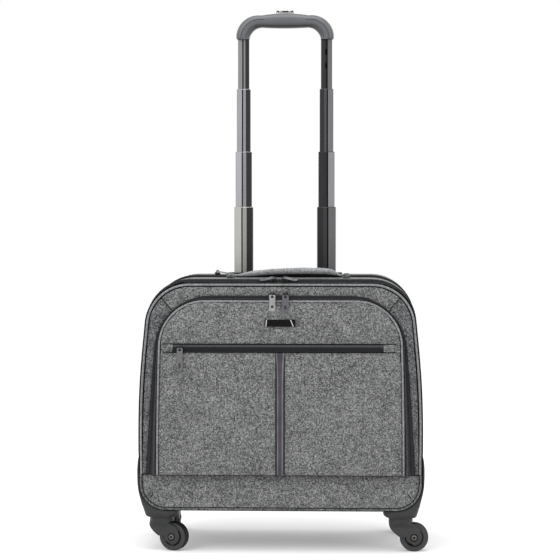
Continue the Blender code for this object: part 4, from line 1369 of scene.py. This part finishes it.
def make_grip():
    """The bent handle bar: pockets for its button and legs, and parting lines at its corners."""
    mid_y = (GRIP_LOW.y + GRIP_HIGH.y) / 2
    depth = GRIP_HIGH.y - GRIP_LOW.y
    line = grip_line()
    rings = []
    for x, z, angle, size in line:
        across = (-math.sin(angle), math.cos(angle))
        radius = min(size, depth) * 0.40
        shape = rounded(size, depth, radius, 6)
        rings.append([Vector((x + u * across[0], mid_y + v, z + u * across[1])) for u, v in shape])
    bar = outward(loft(rings))
    grip = piece("grip_body", bar, GRIP_PLASTIC, "stage_4", ["grip"], sharp=50)
    low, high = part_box("release_button")
    width, across = high.x - low.x + 0.0014, high.y - low.y + 0.0014
    place = moved_to(0.0, mid_y, low.z - 0.0056)
    carve(grip, slab([rounded(width, across, 0.0035, 5)], place, 0.030), 50)
    for side in ("left", "right"):
        tube_low, tube_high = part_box("stage_4_tube_" + side)
        place = moved_to((tube_low.x + tube_high.x) / 2, mid_y, GRIP_LOW.z - 0.004)
        wide, deep = tube_high.x - tube_low.x + 0.0008, tube_high.y - tube_low.y + 0.0008
        carve(grip, slab([rounded(wide, deep, 0.0030, 3)], place, 0.022), 50)
    mark = moulded_plastic("grip_parting_line", grey(0.030), 0.5)
    for side, flip in (("left", 1), ("right", -1)):
        for name, share, last in (("outer", 0.13, 22), ("inner", -0.24, 20)):
            points = []
            for x, z, angle, size in line[1:last]:
                u = share * size
                radius = min(size, depth) * 0.40
                over = max(0.0, abs(u) - (size / 2 - radius))
                y = mid_y - depth / 2 + radius - math.sqrt(radius**2 - over**2)
                points.append(Vector((flip * (x - math.sin(angle) * u), y, z + math.cos(angle) * u)))
            cord_piece(f"grip_line_{name}_{side}", points, 0.00042, mark, "stage_4", 6)
    make_button(low, high)


def make_button(low, high):
    """The push button: a domed silver cap with dark inlays: three on its front and back, one on top."""
    mid_y = (low.y + high.y) / 2
    width, depth = high.x - low.x, high.y - low.y
    rings = []
    for part, inset in ((0.0, 0.0), (0.80, 0.0), (0.90, 0.0003), (0.97, 0.0010), (1.0, 0.0022)):
        shape = rounded(width - 2 * inset, depth - 2 * inset, 0.0032 - min(0.002, inset), 5)
        rings.append([Vector((u, mid_y + v, low.z + (high.z - low.z) * part)) for u, v in shape])
    cap = outward(loft(rings))
    piece("button_cap", cap, BUTTON_SILVER, "button", ["release_button"], sharp=50)
    bm = bmesh.new()
    for x, size in ((-0.0112, 0.0030), (0.0006, 0.0104), (0.0116, 0.0030)):
        for face in (-1, 1):

            def on_face(u, v, w, x=x, face=face):  # the defaults keep this round's x and face
                return x + u, mid_y + face * (depth / 2 - 0.0004 + w), high.z - 0.0024 + v

            copy_into(bm, slab([rounded(size, 0.0024, 0.0008, 3)], on_face, 0.0005))
    place = moved_to(0.0, mid_y, high.z - 0.0002)
    copy_into(bm, slab([rounded(width * 0.62, depth * 0.45, 0.0028, 5)], place, 0.0003))
    piece("button_inlays", bm, DARK_INLAY_AND_SHADE, "button", smooth=False)


# ---- corner housings and casters ----
HOUSING_SIDE = [
    (0.0540, 0.2105), (0.0545, 0.2122), (0.0552, 0.2131), (0.0562, 0.2138), (0.0686, 0.2180),
    (0.0812, 0.2206), (0.0938, 0.2237), (0.1064, 0.2254), (0.1190, 0.2259), (0.1316, 0.2260),
    (0.1442, 0.2250), (0.1500, 0.2238),
]
CUP_LOW = 0.0540
CASTER_X = 0.189
TRAIL = 0.021
AXLE_HEIGHT = 0.0225
FORK_HEAD = 0.0190  # the radius of the fork's head


def make_housing(tag, sign, y_axis):
    """A cup round the bottom corner that tapers to a neck below and a tongue above."""
    node = "corner_housing_" + tag
    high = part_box(node)[1]
    corner_x = TRAY_HIGH.x - BOTTOM_RADIUS
    corner_z = TRAY_LOW.z + BOTTOM_RADIUS
    rings = []
    levels = 44
    for i in range(levels + 1):
        z = CUP_LOW + (high.z - CUP_LOW) * (i / levels) ** 1.5
        x_out = softened(HOUSING_SIDE, z, 0.002) if 0.064 < z < 0.146 else linear_table(HOUSING_SIDE, z)
        if z < TRAY_LOW.z - 0.0004:
            t = min(1.0, (z - CUP_LOW) / 0.0070)
            x_in = 0.1692 - 0.0080 * math.sqrt(max(0.0, 1 - (1 - t) ** 2))
        elif z < corner_z:
            x_in = corner_x + math.sqrt(max(0.0, (BOTTOM_RADIUS + 0.0004) ** 2 - (corner_z - z) ** 2))
            x_in = max(0.1612, x_in)
        else:
            x_in = TRAY_HIGH.x + 0.0004
        half = 0.0215 + 0.0030 * min(1.0, (z - CUP_LOW) / 0.006)
        half -= 0.0045 * max(0.0, (z - 0.110) / 0.040) ** 2
        width = x_out - x_in
        shape = []
        outer_r = max(0.0008, min(width * 0.62, half * 0.55, 0.0150 if z < 0.075 else 0.0070))
        inner_r = max(0.0004, min(width * 0.30, 0.0150 if z < TRAY_LOW.z - 0.0004 else 0.0006))
        for cx, cy, radius, start in (
            (x_out - outer_r, half - outer_r, outer_r, 0), (x_in + inner_r, half - inner_r, inner_r, 1),
            (x_in + inner_r, inner_r - half, inner_r, 2), (x_out - outer_r, outer_r - half, outer_r, 3),
        ):
            for k in range(6):
                angle = math.pi / 2 * (start + k / 5)
                shape.append((cx + radius * math.cos(angle), cy + radius * math.sin(angle)))
        rings.append([Vector((sign * x, y_axis + y, z)) for x, y in shape])
    bm = outward(loft(rings))
    socket = [(0.0196, 0.0600), (0.0196, 0.0546), (0.0192, 0.0537), (0.0150, 0.0537)]
    copy_into(bm, turned(socket, moved_to(sign * CASTER_X, y_axis, 0.0), 40))
    piece("housing_" + tag, bm, CASTER_PLASTIC, "case", [node], sharp=35)


def fork_edges():
    """The fork's side view as (z, back, front) from the head down to the end of the arms."""
    rows = []
    end_r = 0.0132
    for i in range(35):
        z = 0.0532 - (0.0532 - (AXLE_HEIGHT - end_r + 0.0002)) * i / 34
        if z > 0.0400:
            back = -0.0190 + 0.0012 * max(0.0, (0.0470 - z) / 0.007) ** 2
        else:
            t = (0.0400 - z) / (0.0400 - 0.0130)
            back = -0.0176 + 0.0320 * min(1.3, t) ** 1.55
        ring_x = math.sqrt(max(0.0, end_r**2 - (z - AXLE_HEIGHT) ** 2))
        if z < AXLE_HEIGHT:
            back = max(back, TRAIL - ring_x)
        if z > 0.0450:
            front = FORK_HEAD
        elif z > 0.0300:
            t = (0.0450 - z) / 0.0150
            tip = TRAIL + math.sqrt(end_r**2 - 0.0075**2)
            front = FORK_HEAD + (tip - FORK_HEAD) * math.sin(math.pi / 2 * t) ** 0.9
        else:
            front = TRAIL + ring_x
        rows.append((z, back, max(front, back + 0.002)))
    return rows


def make_caster(tag):
    """A fork with its screw, and a wheel with a dark tread on a lighter rim."""
    swivel = JOINTS[f"swivel_{tag}_turn"]["pos_m"]
    axle = JOINTS[f"wheel_{tag}_spin"]["pos_m"]
    turn = math.atan2(axle[1] - swivel[1], axle[0] - swivel[0])
    spun = Matrix.Rotation(turn, 3, "Z")
    centre = Vector((swivel[0], swivel[1], 0.0))

    def place(u, v, w):
        return spun @ Vector((u, v, w)) + centre

    def around(u, v, w):
        return place(TRAIL + u, w, axle[2] + v)

    arm = 0.0126
    rings = []
    for z, back, front in fork_edges():
        blend = min(1.0, max(0.0, (0.0500 - z) / 0.0130))
        blend = blend * blend * (3 - 2 * blend)
        half = FORK_HEAD + (arm - FORK_HEAD) * blend
        width = front - back
        radius = min(width / 2 * 0.999, half * 0.999, FORK_HEAD + (0.0035 - FORK_HEAD) * blend)
        shape = rounded(width, 2 * half, max(0.0004, radius), 7)
        middle = (front + back) / 2
        rings.append([place(middle + u, v, z) for u, v in shape])
    stem, swivel_body = outward(loft(rings)), "swivel_" + tag
    fork = piece("fork_" + tag, stem, CASTER_PLASTIC, swivel_body, ["caster_fork_" + tag])
    slot, reach, bore = 0.0096, 0.0237, 0.0033
    gap = [(bore, -0.02), (bore, -slot), (reach, -slot), (reach, slot), (bore, slot), (bore, 0.02)]
    carve(fork, turned(gap, around, 48), 40)
    screw = [
        (0.0004, -0.0131), (0.0019, -0.0131), (0.0022, -0.0139), (0.0026, -0.0141), (0.0036, -0.0139),
        (0.0042, -0.0132), (0.0042, -0.0129), (0.0030, -0.0129),
    ]
    profile = screw + [(radius, -height) for radius, height in reversed(screw)]
    # The screw's socket floors are painted shade.
    bands = [1] + [0] * 13 + [1]
    bm = turned(profile, around, 28, bands=bands)
    piece("screw_" + tag, bm, [STEEL, DARK_INLAY_AND_SHADE], swivel_body, ["caster_axle_" + tag])
    # A dark ring round each screw head: painted shade in its recess.
    washer = [(0.0031, 0.0127), (0.0060, 0.0127), (0.0060, 0.01285), (0.0031, 0.01285)]
    bm = turned(washer, around, 28, loop=True)
    copy_into(bm, turned([(r, -h) for r, h in washer], around, 28, loop=True))
    piece("screw_recess_" + tag, bm, DARK_INLAY_AND_SHADE, swivel_body, smooth=False)
    body = "wheel_" + tag
    half = [(0.0190, 0.0080), (0.0218, 0.0078), (0.0225, 0.0062), (0.0225, 0.0022), (0.0222, 0.0016)]
    tread = turned([(r, -h) for r, h in half] + half[::-1], around, 56, loop=True)
    piece("tread_" + tag, tread, TREAD, body, ["caster_wheel_" + tag])
    half = [(0.0034, 0.0072), (0.0142, 0.0072), (0.0146, 0.0086), (0.0152, 0.0090)]
    half += [(0.0206, 0.0090), (0.0214, 0.0084), (0.0216, 0.0079)]
    profile = [(r, -h) for r, h in half] + half[::-1]
    # The recessed hub faces and the bore are painted shade.
    bands = [1] + [0] * 11 + [1, 1]
    wheel = turned(profile, around, 56, loop=True, bands=bands)
    piece("rim_" + tag, wheel, [RIM, DARK_INLAY_AND_SHADE], body, sharp=35)


# ---- zip sliders and pullers ----
SLIDER_LENGTH = 0.010
PULLS = {
    "pocket": (0.0350, "slot", "mid", 0.0048),
    "front_left": (0.0257, "round", "light", 0.0050),
    "front_right": (0.0271, "key", "dark", 0.0050),
    "top_left": (0.0240, "round", "mid", 0.0048),
    "top_right": (0.0240, "round", "mid", 0.0048),
    "rear": (0.0280, "round", "light", 0.0048),
}
PULL_DIRECTIONS = {
    "pocket": ((0, -1, 0), (0, 0, -1)),
    "front_left": ((0, -1, 0), (0, 0, -1)),
    "front_right": ((0, -1, 0), (0, 0, -1)),
    "top_left": ((-0.16, -0.24, 0.96), (-0.95, -0.24, -0.20)),
    "top_right": ((0.16, -0.24, 0.96), (0.95, -0.24, -0.20)),
    "rear": ((0.17, 0, 0.98), (0.98, 0, -0.17)),
}


def puller_outline(half, top, end, kind):
    """The flat tab's outline: a waisted strip with a round or a square free end."""
    corner = 0.0008 if kind == "key" else half * 0.75
    waist = half * (0.93 if kind != "key" else 1.0)
    points = [(-half + 0.0014, top), (half - 0.0014, top), (half - 0.0003, top + 0.0006)]
    points += [(half, top + 0.0018), (waist, top + (end - top) * 0.45), (half, end - corner)]
    for i in range(1, 6):
        angle = math.pi / 2 * i / 6
        points.append((half - corner + corner * math.cos(angle), end - corner + corner * math.sin(angle)))
    points.append((half - corner, end))
    return points + [(-u, v) for u, v in reversed(points[2:])]


def make_pull(name):
    """A slider with its bail, and the flat tab that swings on it."""
    length, hole_kind, tone, half = PULLS[name]
    out, down = (Vector(v) for v in PULL_DIRECTIONS[name])
    pivot = Vector(JOINTS[f"puller_{name}_swing"]["pos_m"])
    down.normalize()
    out = (out - down * out.dot(down)).normalized()
    side = down.cross(out)
    rise = 0.0058
    origin = pivot - out * rise

    def place(u, v, w):
        return origin + side * u + down * v + out * w

    finish = {"mid": ZIP_METAL_MID, "light": ZIP_METAL, "dark": ZIP_METAL_DARK}[tone]
    v_mid = (SLIDER_LENGTH - 0.009) / 2
    levels = ((0.0003, 0.0004), (0.0008, 0.0), (0.0018, 0.0), (0.0022, 0.0007), (0.0030, 0.0004))
    levels += ((0.0036, 0.0006), (0.0041, 0.0016))
    cover = stacked(levels, 0.0090, SLIDER_LENGTH, 0.0022, lambda u, v, w: place(u, v_mid + v, w))
    body = "slider_" + name
    slide = piece("slide_" + name, cover, ZIP_BLACK, body, [body], sharp=35)
    round_edges(slide, 0.00015, 1)
    piece("bail_" + name, bail(place), ZIP_BLACK, body)
    top, end = -0.0008, length - 0.0008
    outline = puller_outline(half, top, end, hole_kind)
    slot = rounded(0.0042, 0.0028, 0.0006, 2, 0.0, 0.0022)
    if hole_kind == "slot":
        hole = rounded(0.0040, 0.0096, 0.0019, 4, 0.0, end - 0.0070)
    elif hole_kind == "key":
        hole = rounded(0.0039, 0.0062, 0.0018, 4, 0.0, end - 0.0075)
    else:
        hole = circle(0.0023, 18, 0.0, end - 0.0075)
    thick = 0.0020
    tab = slab([outline, slot, hole], lambda u, v, w: place(u, v, rise - thick / 2 + w), thick)
    body = "puller_" + name
    tab = piece("pull_" + name, tab, finish, body, [body], sharp=30)
    round_edges(tab, 0.00045, 3, 50)


def bail(place):
    """A small wire bridge over the slider."""
    points = []
    for i in range(13):
        angle = math.pi * i / 12
        v, w = -0.0023 * math.cos(angle), 0.0040 + 0.0042 * math.sin(angle) * 0.98
        points.append(Vector(place(0.0, v, w - 0.0006)))
    side = Vector(place(1.0, 0.0, 0.0)) - Vector(place(0.0, 0.0, 0.0))
    return tube_along(points, 0.0007, 8, up=side)


# ---- camera, lights and floor ----
def make_stage():
    """A bright floor that runs far behind the case."""
    bm = bmesh.new()
    bmesh.ops.create_grid(bm, x_segments=1, y_segments=1, size=40.0)
    n = Nodes("floor_paper")
    n.put(Base_Color=n.ramp(n.noise(3.0), [(0.3, grey(0.79)), (0.7, grey(0.81))]), Roughness=0.8)
    n.put(Specular_IOR_Level=0.0, Emission_Color=(1.0, 1.0, 1.0, 1.0), Emission_Strength=0.20)
    mesh = mesh_of("floor", bm)
    mesh.materials.append(n.material)
    added("floor", mesh)


def area_light(name, place, target, size, power):
    data = bpy.data.lights.new(name, "AREA")
    data.shape = "RECTANGLE"
    data.size, data.size_y = size
    data.energy = power
    light = added(name, data)
    light.location = place
    light.rotation_euler = (Vector(target) - Vector(place)).to_track_quat("-Z", "Y").to_euler()


def make_lights():
    world = bpy.data.worlds.new("studio")
    world.use_nodes = True
    world.node_tree.nodes["Background"].inputs["Color"].default_value = (1.0, 1.0, 1.0, 1.0)
    world.node_tree.nodes["Background"].inputs["Strength"].default_value = 1.0
    bpy.context.scene.world = world
    area_light("key_left", (-1.6, -2.2, 2.2), (0, 0, 0.40), (1.2, 1.6), 26)
    area_light("fill_right", (2.1, -1.7, 1.4), (0, 0, 0.35), (1.2, 1.6), 8)
    area_light("top", (0.0, -0.4, 2.4), (0, 0, 0.3), (1.6, 1.4), 26)


def make_camera():
    """Far in front of the case and a little above its middle, as in a catalogue picture."""
    distance = 3.0
    width_at_front = 0.8736
    front = LID_LOW.y
    data = bpy.data.cameras.new("camera")
    data.sensor_width = 36.0
    data.lens = data.sensor_width * distance / width_at_front
    data.clip_end = 30.0
    camera = added("camera", data)
    camera.location = (0.115, front - distance, 0.520)
    target = Vector((-0.0005, front, 0.4285))
    camera.rotation_euler = (target - camera.location).to_track_quat("-Z", "Y").to_euler()
    bpy.context.scene.camera = camera
    bpy.context.scene.view_settings.view_transform = "Standard"


def main():
    make_camera()
    make_stage()
    make_lights()
    make_rear_section()
    make_middle_section()
    make_front_bezel()
    make_base_section()
    skin = make_pocket_skin()
    y_at = surface_of(skin)
    make_gusset()
    make_piping()
    make_mitre_seams()
    make_pocket_zip(y_at)
    make_centre_trim(y_at)
    make_badge(y_at)
    make_handle()
    make_anchors()
    make_divider()
    make_trolley_cover()
    make_zip_rows()
    make_tubes()
    make_grip()
    for end in ("front", "rear"):
        for side, sign in SIDES:
            tag = f"{end}_{side}"
            make_housing(tag, sign, JOINTS[f"swivel_{tag}_turn"]["pos_m"][1])
            make_caster(tag)
    for name in PULLS:
        make_pull(name)
    dress("trolley_bezel", CASTER_PLASTIC, 0.0005)
    dress("trolley_foot", CASTER_PLASTIC, 0.0008)
    dress("base_board", BOARD, 0.0006)


main()
